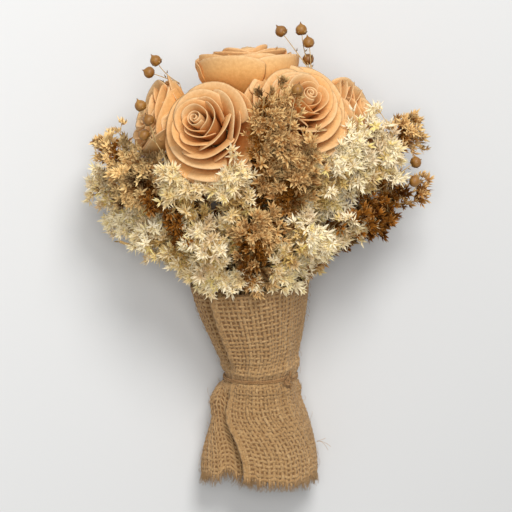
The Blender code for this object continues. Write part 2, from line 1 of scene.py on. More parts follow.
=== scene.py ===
"""A dried wood rose bouquet: petals, florets, seed pods and woven burlap over a CAD model.

The CAD model is the frame. The pieces here stand for its nodes, apart from the roses' stems and the
tape, which stay and get a better material. The row frame is in metres, with the table at Z = 0 and
+Y towards the flowers.
"""

import math

import bpy
import numpy as np
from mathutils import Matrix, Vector


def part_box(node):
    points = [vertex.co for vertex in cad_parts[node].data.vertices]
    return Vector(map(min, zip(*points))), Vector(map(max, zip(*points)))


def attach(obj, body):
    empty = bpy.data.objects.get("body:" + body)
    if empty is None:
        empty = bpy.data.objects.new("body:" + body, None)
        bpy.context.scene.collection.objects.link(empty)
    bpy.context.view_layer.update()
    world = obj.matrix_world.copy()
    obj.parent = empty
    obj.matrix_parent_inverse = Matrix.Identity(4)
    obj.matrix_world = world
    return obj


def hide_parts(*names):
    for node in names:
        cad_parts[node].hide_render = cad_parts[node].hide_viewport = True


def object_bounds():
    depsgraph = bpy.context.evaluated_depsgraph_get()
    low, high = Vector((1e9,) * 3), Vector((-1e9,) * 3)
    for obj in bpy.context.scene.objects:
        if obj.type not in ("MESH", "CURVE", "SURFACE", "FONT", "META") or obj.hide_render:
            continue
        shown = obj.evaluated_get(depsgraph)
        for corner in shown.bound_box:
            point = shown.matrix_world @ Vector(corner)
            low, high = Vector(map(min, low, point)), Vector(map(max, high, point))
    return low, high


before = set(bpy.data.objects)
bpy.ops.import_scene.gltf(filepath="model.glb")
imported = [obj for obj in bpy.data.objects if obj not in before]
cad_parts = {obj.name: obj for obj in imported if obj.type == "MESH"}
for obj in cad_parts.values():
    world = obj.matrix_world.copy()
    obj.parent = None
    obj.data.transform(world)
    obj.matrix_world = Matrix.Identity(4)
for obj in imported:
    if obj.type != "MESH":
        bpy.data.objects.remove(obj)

cad_low, cad_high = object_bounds()
MM = 0.001
TABLE_CLEAR = 0.0002  # how far thin tubes and bracts stay above the table

# ---- Numbers repeated from the CAD source, in its own modelling frame ----
TIE = (0.0028, -0.074, 0.0262)  # the middle of the tape, which places that frame here
# y, centre x and z, half width and half height of the roll, and how loosely it is rolled
BURLAP_STATIONS = np.array((
    (-0.145, 0.0035, 0.0225, 0.0352, 0.0225, 1.00),
    (-0.122, 0.0032, 0.0226, 0.0345, 0.0224, 0.90),
    (-0.096, 0.0026, 0.0236, 0.0292, 0.0218, 0.40),
    (-0.074, 0.0028, 0.0262, 0.0226, 0.0217, 0.00),
    (-0.050, 0.0012, 0.0330, 0.0282, 0.0256, 0.40),
    (-0.026, -0.0022, 0.0404, 0.0348, 0.0305, 0.90),
    (0.004, -0.0060, 0.0497, 0.0398, 0.0352, 1.00),
))
BURLAP_TURN = 536.0  # degrees from the roll's free edge to its inner one
BURLAP_THICKNESS = 0.0011
LAYER_STEP, EDGE_LIFT, SIDE_BULGE, RIPPLE = 0.0016, 0.0032, 0.0026, 0.0006
HEM_EDGE, TIE_EDGE = -17.0, -50.0  # the free edge at the hem and the waist, in degrees from the top
HEM_Y, HEM_DROP, TOP_Y = -0.1335, 0.0065, -0.0150
FAN_Y = -0.024  # where the stems fan out of the burlap
BUNDLE_OUTSIDE = 0.01705  # radius of the tape round the stems
KNOT_ANGLE = 42.0
BEND, BEND_DROP = 0.44, 0.07  # how far on a flax stalk bends, and how much less in each outer ring
POD_RADIUS = 0.0035
ROSE_RIM_Z = 0.0300

# name, centre of the rim, the way the rose faces, size, turn
ROSES = (
    ("rose_front_left", (-0.0300, 0.0770, 0.1190), (-0.36, 0.26, 0.89), 1.08, 0),
    ("rose_front_right", (0.0280, 0.0920, 0.1150), (0.32, 0.48, 0.81), 1.06, 67),
    ("rose_top", (-0.0060, 0.1200, 0.0760), (-0.06, 0.99, 0.04), 1.08, 134),
    ("rose_left", (-0.0640, 0.0860, 0.0780), (-0.91, 0.33, 0.22), 0.94, 201),
    ("rose_right", (0.0650, 0.0860, 0.0720), (0.90, 0.38, 0.20), 0.94, 268),
    ("rose_back", (0.0120, 0.0880, 0.0280), (0.10, 0.55, -0.83), 0.94, 335),
)

# name, ring of the bundle, where it forks, its pods
FLAX = (
    ("flax_top", 1, (0.033, 0.112, 0.086), ((0.015, 0.136, 0.090), (0.027, 0.137, 0.088),
                                            (0.032, 0.129, 0.092), (0.033, 0.120, 0.086))),
    ("flax_left", 2, (-0.047, 0.106, 0.060), ((-0.062, 0.119, 0.066), (-0.065, 0.112, 0.072),
                                              (-0.060, 0.104, 0.050))),
    ("flax_left_front", 2, (-0.060, 0.068, 0.108), ((-0.069, 0.090, 0.114), (-0.064, 0.081, 0.116),
                                                    (-0.067, 0.073, 0.110))),
    ("flax_centre", 2, (0.020, 0.074, 0.140), ((0.024, 0.098, 0.146),)),
    ("flax_right", 3, (0.088, 0.050, 0.068), ((0.098, 0.058, 0.066), (0.096, 0.044, 0.072))),
)

tape_low, tape_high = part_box("stem_tape")
SHIFT = (np.array(tape_low) + np.array(tape_high)) / 2 - np.array(TIE)


def here(point):
    """A point of the CAD source's modelling frame in the row frame."""
    return np.array(point, float) + SHIFT


# ---- Vectors and meshes ----
def seeded(name):
    return np.random.default_rng(list(name.encode()))


def unit(vectors):
    return vectors / np.maximum(np.linalg.norm(vectors, axis=-1, keepdims=True), 1e-12)


def smooth_step(value):
    value = np.clip(value, 0, 1)
    return value * value * (3 - 2 * value)


def about(ways, turn):
    """Unit vectors at right angles to ways, turn radians round them."""
    first, second = square_to(ways)
    return first * np.cos(turn)[..., None] + second * np.sin(turn)[..., None]


def hump(value, middle, width):
    """A bell curve that is 1 at middle and about a third at width from it."""
    return np.exp(-(((value - middle) / width) ** 2))


def new_object(name, data):
    made = bpy.data.objects.new(name, data)
    bpy.context.scene.collection.objects.link(made)
    return made


def square_to(vectors):
    """Two unit vectors at right angles to each of vectors."""
    aside = np.eye(3)[np.argmin(np.abs(vectors), axis=-1)]
    first = unit(np.cross(vectors, aside))
    return first, np.cross(vectors, first)


class Heap:
    """Vertices, faces and per-vertex values, collected for one mesh."""

    def __init__(self):
        self.count, self.points, self.faces, self.slots, self.values = 0, [], [], [], {}

    def add(self, points, faces, slot=0, **values):
        points = points.reshape(-1, 3)
        rows = slice(self.count, self.count + len(points))
        for key, value in values.items():
            self.values.setdefault(key, []).append((rows, np.asarray(value)))
        for polygons in faces:
            self.faces.append(polygons + self.count)
            self.slots.append(np.full(len(polygons), slot))
        self.points.append(points)
        self.count += len(points)

    def piece(self, name, materials, smooth=True):
        """The heap as an object that rides on the root body."""
        mesh = bpy.data.meshes.new(name)
        points = np.concatenate(self.points)
        sizes = np.concatenate([np.full(len(f), f.shape[1]) for f in self.faces])
        mesh.vertices.add(len(points))
        mesh.vertices.foreach_set("co", points.astype(np.float32).ravel())
        corners = np.concatenate([f.ravel() for f in self.faces]).astype(np.int32)
        mesh.loops.add(len(corners))
        mesh.loops.foreach_set("vertex_index", corners)
        mesh.polygons.add(len(sizes))
        mesh.polygons.foreach_set("loop_start", (np.cumsum(sizes) - sizes).astype(np.int32))
        mesh.polygons.foreach_set("material_index", np.concatenate(self.slots).astype(np.int32))
        mesh.update(calc_edges=True)
        for key, parts in self.values.items():
            vector = parts[0][1].ndim == 2
            full = np.zeros((len(points), 3) if vector else len(points), np.float32)
            for rows, value in parts:
                full[rows] = value
            kind, field = ("FLOAT_VECTOR", "vector") if vector else ("FLOAT", "value")
            mesh.attributes.new(key, kind, "POINT").data.foreach_set(field, full.ravel())
        for made in materials:
            mesh.materials.append(made)
        if smooth:
            mesh.shade_smooth()
        else:
            mesh.shade_flat()
        obj = new_object(name, mesh)
        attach(obj, "root")
        return obj


def grid_faces(rows, columns, closed=False):
    """Quads of a grid of points, whose rows may close on themselves."""
    j, i = np.meshgrid(np.arange(rows - 1), np.arange(columns if closed else columns - 1), indexing="ij")
    k = (i + 1) % columns
    corners = (j * columns + i, j * columns + k, (j + 1) * columns + k, (j + 1) * columns + i)
    return np.stack(corners, -1).reshape(-1, 4)


def tubes(heap, paths, radii, sides, normal=None, flat=1.0, slot=0, strand=None, tone=0.0):
    """Closed tubes along paths (count, knots, 3). radii spread to (count, knots).

    With a normal for each knot, flat is the tube's thickness along it as a share of its width.
    A yarn has its own number, strand, from which each point gets its place along the yarn in mm
    and its place round it, and a tone.
    """
    count, knots = paths.shape[:2]
    ahead = unit(np.gradient(paths, axis=1))
    if normal is None:
        normal = square_to(unit(paths[:, -1] - paths[:, 0]))[0][:, None, :]
    side = unit(np.cross(ahead, normal))
    side, up = side[:, :, None], np.cross(side, ahead)[:, :, None]
    angle = 2 * np.pi * (np.arange(sides) + 0.5) / sides
    across = side * np.cos(angle)[:, None] + up * (flat * np.sin(angle))[:, None]
    radii = np.broadcast_to(radii, (count, knots))[:, :, None, None]
    points = paths[:, :, None] + across * radii
    points[..., 2] = np.maximum(points[..., 2], TABLE_CLEAR)
    first = (np.arange(count) * knots * sides)[:, None, None]
    walls = (first + grid_faces(knots, sides, True)).reshape(-1, 4)
    foot = first[:, 0] + np.arange(sides)[::-1]
    tip = first[:, 0] + (knots - 1) * sides + np.arange(sides)
    values = {}
    if strand is not None:
        steps = np.linalg.norm(np.diff(paths, axis=1), axis=2)
        places = np.zeros((count, knots, sides, 3))
        places[:, 1:, :, 0] = (np.cumsum(steps, axis=1) / MM)[..., None]
        places[..., 1] = np.cos(angle)
        places[..., 2] = np.reshape(strand, (-1, 1, 1)) + np.sin(angle)
        values["strand"] = places.reshape(-1, 3)
        values["tone"] = np.repeat(np.broadcast_to(tone, count), knots * sides)
    heap.add(points, [walls, foot, tip], slot, **values)


def bracts(heap, feet, ways, lengths, widths, keel, facing=(0, 0, 1), slot=0, **values):
    """Small pointed leaves: a foot, two shoulders and a tip each, folded along the middle, with the
    fold's ridge to the way they face. A value has one entry a leaf."""
    count = len(feet)
    lengths, half = (np.broadcast_to(a, count)[:, None] for a in (lengths, np.divide(widths, 2)))
    side = unit(np.cross(ways, np.asarray(facing) + (1e-4, 2e-4, 3e-4)))
    up = np.cross(side, ways)
    middle = feet + ways * (lengths * 0.42) - up * (keel * half)
    tips = feet + ways * lengths
    points = np.stack([feet, middle + side * half, middle - side * half, tips], axis=1)
    points[..., 2] = np.maximum(points[..., 2], TABLE_CLEAR)
    faces = np.array(((0, 1, 3), (0, 3, 2), (0, 2, 1), (3, 1, 2)))
    faces = (np.arange(count)[:, None, None] * 4 + faces).reshape(-1, 3)
    spread = {key: np.repeat(value, 4) for key, value in values.items()}
    spread["tip"] = np.tile((0, 0.5, 0.5, 1), count)
    heap.add(points, [faces], slot, **spread)


# ---- Materials ----
def linear(colour):
    """A colour as it shows, 0 to 255, as the shader wants it."""
    return [((c / 255 + 0.055) / 1.055) ** 2.4 if c > 10 else c / 3295 for c in colour] + [1.0]


class Finish:
    """A material under construction: its tree, its shader, and short ways to add nodes."""

    def __init__(self, name, roughness, specular):
        self.made = bpy.data.materials.new(name)
        self.made.use_nodes = True
        self.tree = self.made.node_tree
        self.shader = self.tree.nodes["Principled BSDF"]
        self.shader.inputs["Roughness"].default_value = roughness
        self.shader.inputs["Specular IOR Level"].default_value = specular

    def node(self, kind, inputs=(), **settings):
        made = self.tree.nodes.new("ShaderNode" + kind)
        for key, value in settings.items():
            setattr(made, key, value)
        for key, value in dict(inputs).items():
            if isinstance(value, bpy.types.NodeSocket):
                self.tree.links.new(value, made.inputs[key])
            else:
                made.inputs[key].default_value = value
        return made

    def value(self, name, output="Fac"):
        return self.node("Attribute", attribute_name=name).outputs[output]

    def place(self):
        return self.node("TexCoord").outputs["Object"]

    def noise(self, scale, detail, where=None, stretch=None):
        where = where or self.place()
        if stretch:
            where = self.node("Mapping", {"Vector": where, "Scale": stretch}).outputs["Vector"]
        inputs = {"Vector": where, "Scale": scale, "Detail": detail, "Roughness": 0.6}
        return self.node("TexNoise", inputs).outputs["Fac"]

    def ramp(self, factor, stops):
        made = self.node("ValToRGB", {"Fac": factor})
        band = made.color_ramp
        while len(band.elements) < len(stops):
            band.elements.new(0.5)
        for element, (position, colour) in zip(band.elements, stops):
            element.position = position
            element.color = linear(colour)
        return made.outputs["Color"]

    def blend(self, factor, a, b, mode="MIX"):
        """a with b laid over it, by factor. A colour is a socket or a shown colour, 0 to 255."""
        a, b = (c if isinstance(c, bpy.types.NodeSocket) else linear(c) for c in (a, b))
        inputs = {"Factor": factor, 6: a, 7: b}
        return self.node("Mix", inputs, data_type="RGBA", blend_type=mode).outputs[2]

    def spread(self, value, low, high, from_low=0.0, from_high=1.0):
        """value moved from one range to another."""
        inputs = {"Value": value, 1: from_low, 2: from_high, 3: low, 4: high}
        return self.node("MapRange", inputs).outputs["Result"]

    def maths(self, operation, a, b):
        return self.node("Math", {0: a, 1: b}, operation=operation).outputs["Value"]

    def sum(self, a, share_a, b, share_b):
        parts = [self.maths("MULTIPLY", *pair) for pair in ((a, share_a), (b, share_b))]
        return self.maths("ADD", *parts)

    def finished(self, colour, grain, low, high, distance, strength, height=None):
        """The material, as rough as low to high by its grain, with a bump by height or by grain."""
        inputs = {"Height": height or grain, "Distance": distance, "Strength": strength}
        made = (colour, self.spread(grain, low, high), self.node("Bump", inputs).outputs["Normal"])
        for name, socket in zip(("Base Color", "Roughness", "Normal"), made):
            self.tree.links.new(socket, self.shader.inputs[name])
        return self.made


def wood_petal():
    """Sola wood: a pale papery sheet with fine fibres, deeper in colour towards the petal's foot, which
    is painted shade down in the rose's cup.
    """
    f = Finish("sola_wood_petal", 0.8, 0.2)
    grain = f.value("grain", "Vector")
    fibre, mottle = f.noise(1.0, 4.0, grain, (3.2, 0.35, 1.0)), f.noise(0.45, 2.0, grain)
    # painted shade: the colour deepens low in each petal, where the cup lies in shade
    base = f.ramp(f.value("rise"), (
        (0.00, (234, 144, 56)), (0.35, (243, 179, 98)), (0.68, (242, 190, 122)),
        (0.90, (240, 199, 141)), (1.00, (244, 207, 157)),
    ))
    toned = f.blend(f.spread(f.value("tone"), 0.0, 0.55, 0.2, 1.0), base, (238, 174, 98))
    streaks = f.ramp(fibre, ((0.25, (244, 238, 230)), (0.75, (255, 255, 255))))
    blotch = f.ramp(mottle, ((0.30, (242, 234, 226)), (0.70, (255, 255, 255))))
    colour = f.blend(1.0, f.blend(1.0, toned, streaks, "MULTIPLY"), blotch, "MULTIPLY")
    return f.finished(colour, fibre, 0.66, 0.9, 0.0002, 0.18)


def dried_floret(name, deep, middle, pale, other, age, reach):
    """A dry papery floret, deep in colour at its foot, and deep inside the spray as painted shade. It is
    pale where its depth and tip add up to reach, and age is how far patches of it have gone to the deep
    colour."""
    f = Finish(name, 0.85, 0.05)
    speck, patch = f.noise(900.0, 2.0), f.noise(60.0, 2.0)
    # lit mixes painted shade inside the spray (depth) with the floret's own foot-to-tip colour
    lit = f.sum(f.value("depth"), 0.62, f.value("tip"), 0.38)
    base = f.ramp(lit, ((reach - 0.80, deep), (reach - 0.40, middle), (reach, pale)))
    toned = f.blend(f.spread(f.value("tone"), 0.0, 0.75, 0.35, 1.0), base, other)
    aged = f.blend(f.spread(patch, 0.0, age, 0.52, 0.68), toned, deep)
    return f.finished(aged, speck, 0.73, 0.93, 0.00015, 0.25)


def twiggy(name, dark, pale):
    """A thin dry stalk with streaks along it."""
    f = Finish(name, 0.8, 0.25)
    streak = f.noise(700.0, 3.0, None, (1.0, 0.12, 1.0))
    return f.finished(f.ramp(streak, ((0.25, dark), (0.72, pale))), streak, 0.7, 0.9, 0.0002, 0.6)


def seed_pod():
    """A flax pod: mottled golden brown, darker at its foot and its point."""
    f = Finish("flax_pod", 0.42, 0.5)
    mottle = f.noise(500.0, 3.0)
    base = f.ramp(f.value("rise"), (
        (0.0, (76, 42, 8)), (0.25, (140, 92, 32)), (0.75, (156, 106, 38)), (1.0, (84, 48, 14)),
    ))
    worn = f.blend(f.spread(mottle, 0.0, 0.6, 0.4, 0.75), base, (192, 144, 66))
    colour = f.blend(f.spread(f.value("tone"), 0.0, 0.6), worn, (104, 56, 12))
    return f.finished(colour, mottle, 0.34, 0.6, 0.0002, 0.5)


def jute(name, dark, middle, pale, lift):
    """Hairy jute yarn, twisted along its strand and thicker and paler in places."""
    f = Finish(name, 0.92, 0.12)
    strand = f.value("strand", "Vector")
    twist, slub = f.noise(1.0, 4.0, strand, (1.1, 1.6, 1.3)), f.noise(0.12, 2.0, strand)
    hair = f.noise(1800.0, 2.0)
    base = f.ramp(f.sum(twist, 0.6, slub, 0.4), ((0.30, dark), (0.50, middle), (0.68, pale)))
    worn = f.blend(f.spread(f.value("tone"), 0.0, 0.6), base, dark)
    colour = f.blend(f.spread(hair, 0.0, 0.35, 0.45, 0.7), worn, pale)
    f.shader.inputs["Sheen Weight"].default_value = 0.15
    f.shader.inputs["Sheen Roughness"].default_value = 0.6
    height = f.maths("ADD", twist, f.maths("MULTIPLY", hair, 0.5))
    return f.finished(colour, twist, 0.82, 1.0, 0.0003 * lift, 0.8, height)


def crepe_tape():
    """Florist's tape: crinkled crepe paper wound slantwise."""
    f = Finish("crepe_tape", 0.85, 0.2)
    inputs = {"Vector": f.place(), "Scale": 160.0, "Distortion": 4.0, "Detail": 2.0}
    wind = f.node("TexWave", inputs, bands_direction="DIAGONAL").outputs["Fac"]
    crinkle = f.noise(1200.0, 3.0)
    colour = f.ramp(f.sum(wind, 0.5, crinkle, 0.5), ((0.2, (84, 74, 42)), (0.8, (140, 122, 76))))
    return f.finished(colour, crinkle, 0.75, 0.95, 0.0002, 0.7, f.maths("ADD", wind, crinkle))


# the floor's painted light falloff: shaded colour to the lower right, lit colour to the upper left
FLOOR_SHADED, FLOOR_LIT = (206, 206, 205), (230, 230, 229)


def floor_paper():
    """The pale surface the posy lies on, painted a little darker away from its upper left as a painted
    falloff of the light.
    """
    f = Finish("floor_paper", 0.9, 0.1)
    apart = f.node("SeparateXYZ", {0: f.place()})
    slope = f.maths("SUBTRACT", f.maths("MULTIPLY", apart.outputs["Y"], 0.75), apart.outputs["X"])
    colour = f.ramp(f.spread(slope, 0.0, 1.0, -0.32, 0.34), ((0.0, FLOOR_SHADED), (1.0, FLOOR_LIT)))
    f.tree.links.new(colour, f.shader.inputs["Base Color"])
    return f.made


PETAL = wood_petal()
# the deep colours are painted shade inside the sprays, and also the colour of aged patches
STATICE = dried_floret("statice_floret", (176, 120, 38), (240, 206, 134), (252, 239, 206),
                       (238, 216, 124), 0.5, 0.90)
CASPIA = dried_floret("caspia_floret", (62, 26, 2), (164, 104, 36), (252, 218, 154),
                      (146, 84, 22), 0.85, 1.02)
TWIG = twiggy("dry_twig", (170, 132, 80), (214, 182, 122))
PALE_TWIG = twiggy("pale_twig", (172, 136, 86), (214, 184, 130))
POD = seed_pod()
YARN = jute("burlap_yarn", (142, 102, 58), (178, 140, 92), (208, 174, 126), 1.0)
# a dark jute colour for the sheet behind the weave: painted shade seen through the holes
HOLE_SHADE = jute("burlap_hole_shade", (112, 80, 46), (132, 96, 58), (152, 114, 72), 0.6)
STRING = jute("twine_string", (122, 84, 46), (164, 122, 76), (196, 156, 106), 1.0)
TAPE = crepe_tape()


# ---- Roses ----
# petals in the layer, radius halfway up and at the rim, height of the rim, all in mm, and how far
# the rim leans out; each layer lies close to the one inside it and only flares away at its rim
PETAL_LAYERS = (
    (3, 5.2, 6.8, 36.6, 0.0), (3, 6.8, 10.2, 36.0, 0.3), (4, 8.8, 14.0, 34.6, 0.6),
    (4, 11.2, 17.8, 32.0, 0.9), (4, 14.2, 21.4, 28.2, 1.3), (5, 18.0, 24.4, 22.6, 1.7),
    (4, 21.5, 25.4, 18.0, 1.6),
)
OUTERMOST = PETAL_LAYERS[-1][2]
LAYER_TURN = 2.4  # how far each layer is turned from the one inside it, in radians
DOME_TOP = 36.8
# how tall each rose's dome stands, how wide its outer petals open, how full they are halfway up,
# what share of the lean their rims keep, how round the petals' corners are, and how far its heart
# lies off its middle, in mm across and up the posy
BLOOMS = {
    "rose_front_left": (1.0, 1.00, 0.84, 1.5, 0.14, (-7.5, 6.4)),
    "rose_front_right": (1.0, 1.07, 0.84, 1.6, 0.14, (5.4, 5.4)),
    "rose_top": (0.26, 1.05, 0.98, 0.1, 0.12, (1.5, 0.0)),
    "rose_left": (0.40, 0.96, 0.94, 0.5, 0.24, (0.0, 1.5)),
    "rose_right": (0.40, 1.02, 0.94, 0.5, 0.30, (1.0, 1.5)),
    "rose_back": (0.8, 1.0, 0.88, 1.0, 0.20, (-1.5, 1.0)),
}
PETAL_THICKNESS = 0.00085
BUD_TURNS, BUD_TOP = 2.3, 37.0


def rose_axes(rim, facing, size):
    """Foot of the rose in the row frame, and the matrix from its own directions, in metres."""
    out = Vector(facing).normalized()
    turn = np.array(out.to_track_quat("Z", "Y").to_matrix())
    return here(rim) - np.array(out) * ROSE_RIM_Z * size, turn * size


def round_sheet(heap, r, angle, z, grain, rise, tone):
    """A sheet round the rose's middle, in mm. grain is each point's place in the wood, and rise how
    high up the sheet it lies."""
    points = np.stack([r * np.cos(angle), r * np.sin(angle), z], -1)
    grain = np.stack(grain, -1).reshape(-1, 3)
    heap.add(points, [grid_faces(*r.shape)], rise=rise.ravel(), tone=tone, grain=grain)


def thicken(sheet, thickness):
    solid = sheet.modifiers.new("sheet", "SOLIDIFY")
    solid.thickness, solid.offset = thickness, 0.0


def petal_sheet(heap, rng, centre, half, foot, middle, rim, lean, lap, corner):
    """One petal: a cupped sheet that laps over its neighbour, with a wavy creased rim."""
    v, u = np.meshgrid(np.linspace(0, 1, 6), np.linspace(-1, 1, 9), indexing="ij")
    wave = 0.014 * np.sin(rng.uniform(2, 4) * u + rng.uniform(0, 6))
    crown = 1 - (rng.uniform(0.02, 0.08) * u**2 + corner * u**4 - wave) * v**2
    reach = rim[0] * rng.uniform(0.92, 1.06)
    middle *= reach / rim[0]
    r = foot[0] + (middle - foot[0]) * np.clip(v / 0.6, 0, 1) ** 0.6
    r = r + (reach - middle) * np.clip((v - 0.4) / 0.6, 0, 1) ** 2.0
    z = foot[1] + (rim[1] * rng.uniform(0.94, 1.025) * crown - foot[1]) * v**0.9
    curl = smooth_step((v - 0.72) / 0.28)
    r = r + lean * curl + lap * (u + 1) / 2 * v
    crease = rng.uniform(-0.6, 0.6)
    r = r + rng.uniform(0.1, 0.8) * hump(u, crease, 0.25) * v**3
    r = r + 0.035 * rim[0] * np.sin(rng.uniform(1.5, 3.5) * u + 1.5 * v + rng.uniform(0, 6)) * v**2
    r = r + 0.16 * np.sin(rng.uniform(7, 11) * u + rng.uniform(0, 6)) * v**3
    z = z - 0.35 * max(lean, 0) * curl
    angle = centre + half * u * (0.60 + 0.40 * smooth_step(v / 0.5))
    grain = (u * half * reach, v * rim[1], np.full_like(u, rng.uniform(0, 90)))
    round_sheet(heap, r, angle, z, grain, v, rng.uniform(0, 1))


def bud_sheet(heap, rng):
    """The rolled heart: one strip wound up, its rim a loose spiral."""
    v, t = np.meshgrid(np.linspace(0, 1, 5), np.linspace(0, 1, 45), indexing="ij")
    wound = BUD_TURNS * t
    r = (0.8 + 1.75 * wound) * (0.55 + 0.45 * v**0.6) + 0.16 * np.sin(9.5 * wound) * v
    top = BUD_TOP - 0.25 * wound + 0.25 * np.sin(6.0 * wound + 1.0)
    z = 8 + (top - 8) * v
    angle = rng.uniform(0, 6) + 2 * np.pi * wound
    grain = (wound * 20, v * 28, np.full_like(v, 5.0))
    round_sheet(heap, r, angle, z, grain, 0.25 + 0.75 * v, 0.2)


def rose(name, rim, facing, size, turn):
    rng = seeded(name)
    heap = Heap()
    dome, wide, belly, keep, corner, heart = BLOOMS[name]
    foot_at, axes = rose_axes(rim, facing, size)
    heart = (np.linalg.inv(axes) @ (*heart, 0))[:2] * size
    bud_sheet(heap, rng)
    heap.points[0][:, :2] += heart * (1 - PETAL_LAYERS[0][2] / OUTERMOST)
    for layer, (count, middle, radius, height, lean) in enumerate(PETAL_LAYERS):
        start = math.radians(turn) + LAYER_TURN * layer
        open_share = radius / OUTERMOST
        radius *= 1 + (wide - 1) * open_share**2
        middle = max(middle, radius * belly * smooth_step((open_share - 0.7) / 0.3))
        edge = (radius, DOME_TOP - (DOME_TOP - height) * dome)
        foot = (3.0 + 0.16 * radius, 9.0 - 0.26 * radius)
        for petal in range(count):
            centre = start + 2 * math.pi * (petal + rng.uniform(-0.10, 0.10)) / count
            half = math.pi / count * rng.uniform(1.24, 1.42)
            lean_by = keep * (lean + rng.normal(0, 0.5))
            lap = rng.uniform(1.2, 2.6)
            petal_sheet(heap, rng, centre, half, foot, middle, edge, lean_by, lap, corner)
            heap.points[-1][:, :2] += heart * (1 - open_share)
    heap.points = [foot_at + (p * MM) @ axes.T for p in heap.points]
    made = heap.piece(name + "_petals", [PETAL])
    thicken(made, PETAL_THICKNESS)
    rounder = made.modifiers.new("rounder", "SUBSURF")
    rounder.levels = rounder.render_levels = 1
    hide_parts(name + "_bud", name + "_inner_petals", name + "_outer_petals")


# ---- The roll of burlap as a surface ----
def station_table():
    """y, centre x and z, half width and height, looseness: a smooth curve through the stations."""
    rows = BURLAP_STATIONS
    before, after = np.vstack([rows[:1], rows[:-1]]), np.vstack([rows[1:], rows[-1:]])
    slope = (after - before) / (after[:, :1] - before[:, :1])
    made = []
    for low, high, rise, fall in zip(rows, rows[1:], slope, slope[1:]):
        t = np.linspace(0, 1, 24, endpoint=False)[:, None]
        width = high[0] - low[0]
        made.append((2 * t**3 - 3 * t**2 + 1) * low + (t**3 - 2 * t**2 + t) * width * rise
                    + (3 * t**2 - 2 * t**3) * high + (t**3 - t**2) * width * fall)
    return np.vstack(made + [rows[-1:]])


TABLE = station_table()
CENTRES = TABLE[:, [1, 0, 2]]
ALONG = unit(np.gradient(CENTRES, axis=0))
RIGHT = unit(np.array([1.0, 0, 0]) - ALONG * ALONG[:, :1])
UP = np.cross(RIGHT, ALONG)


def at_station(columns, y):
    """Rows of a table of values along the roll, read at y."""
    return np.stack([np.interp(y, TABLE[:, 0], column) for column in columns.T], -1)


def roll_point(y, angle, off):
    """A point of the roll's outline at y, angle radians clockwise from its top, off metres out."""
    wide, high = np.moveaxis(at_station(TABLE[:, 3:5], y), -1, 0)
    side = at_station(RIGHT, y) * ((wide + off) * np.sin(angle))[..., None]
    top = at_station(UP, y) * ((high + off) * np.cos(angle))[..., None]
    return SHIFT + at_station(CENTRES, y) + side + top


def edge_angle(y):
    """Degrees from the front at which the free edge lies: it winds round towards the twine."""
    wound = HEM_EDGE + (TIE_EDGE - HEM_EDGE) * smooth_step((y - HEM_Y) / (TIE[1] - HEM_Y))
    opens = 10 * smooth_step((y - TIE[1]) / 0.020)
    return wound + opens - 7 * hump(y, -0.099, 0.012)


def slack(angle, turned, y):
    """How far the cloth stands off an even roll: it puffs out beside the twine, falls in folds
    towards it, lifts along its free edge and sinks in under that edge."""
    away = np.abs(y - TIE[1])
    apart = smooth_step((away - 0.003) / 0.014)
    puff = 0.0019 * hump(away, 0.0068, 0.0036)
    near = smooth_step((away - 0.0015) / 0.006) * hump(away, 0, 0.026)
    folds = 0.0013 * near * (0.5 + 0.5 * np.sin(12 * angle + 2.0 * np.sin(2 * angle + 0.7)))
    above = smooth_step((y - TIE[1]) / 0.02)
    edge = (0.0012 + 0.0014 * above) * apart * hump(turned, 0, 13)
    under = (0.0036 + 0.0054 * above) * apart * hump(turned, 353, 12)
    flap = 0.0016 * apart * hump(turned, 322, 15)
    flap += 0.0050 * np.exp(-(((turned - 323) / 24) ** 2) - ((y + 0.0880) / 0.0080) ** 2)
    broad = 0.0005 * apart * np.sin(2.3 * angle + 70 * y)
    return puff - folds + edge - under + flap + broad


def cloth(turned, y, raised=0.0):
    """The cloth's middle, turned degrees on from the roll's free edge and raised metres outward."""
    wide, high, loose = np.moveaxis(at_station(TABLE[:, 3:6], y), -1, 0)
    loose = np.maximum(0.0, loose - 0.04)
    angle = np.radians(edge_angle(y) + turned)
    step = LAYER_STEP + EDGE_LIFT * loose
    tucked = step * smooth_step((turned - 285) / 70)
    inner_share = smooth_step((turned - 370) / (BURLAP_TURN - 370))
    to_tape = np.minimum(wide, high) - BUNDLE_OUTSIDE
    tucked += np.maximum(0.0, to_tape - step - 0.0017) * inner_share * (1 - loose) ** 2
    bulge = SIDE_BULGE * loose * np.sin(np.pi * np.clip((turned - 190) / 150, 0, 1)) ** 2
    ripple = RIPPLE * loose * np.sin(3 * angle + 1.1)
    off = bulge + ripple - tucked - BURLAP_THICKNESS / 2 + slack(angle, turned, y) + raised
    return roll_point(y, angle, off)


def hem_at(turned):
    """The cut edge's y: lowest in front, uneven, and torn up a little beside the free edge."""
    angle = np.radians(HEM_EDGE + turned)
    even = HEM_Y - HEM_DROP * (0.5 + 0.5 * np.cos(angle))
    uneven = 0.0006 * (np.sin(turned * 0.23) + np.sin(turned * 0.61 + 2))
    front = 0.0042 * hump(np.degrees(angle), 30, 34)
    return even + uneven - front + 0.0042 * hump(turned, 334, 8)


# ---- Room: where a floret or a twig may go ----
FLORET_CLEAR = 0.0012
# the outline of a rose's cup: heights and radii in mm
CUP_Z = np.array((-2.0, 2.0, 8.0, 16.0, 22.0, 30.0, 38.0))
CUP_R = np.array((6.0, 11.0, 19.0, 24.5, 27.5, 23.0, 13.0))
MOUTH_LEAN, MOUTH_Z = 0.34, 0.035  # the slope of a section of the roll at its mouth, and its height
LIMIT_LOW = np.array(cad_low) + (-0.0008, 0, 0.0008)
LIMIT_HIGH = np.array(cad_high) + (0.0008, 0.0020, 0.0004)


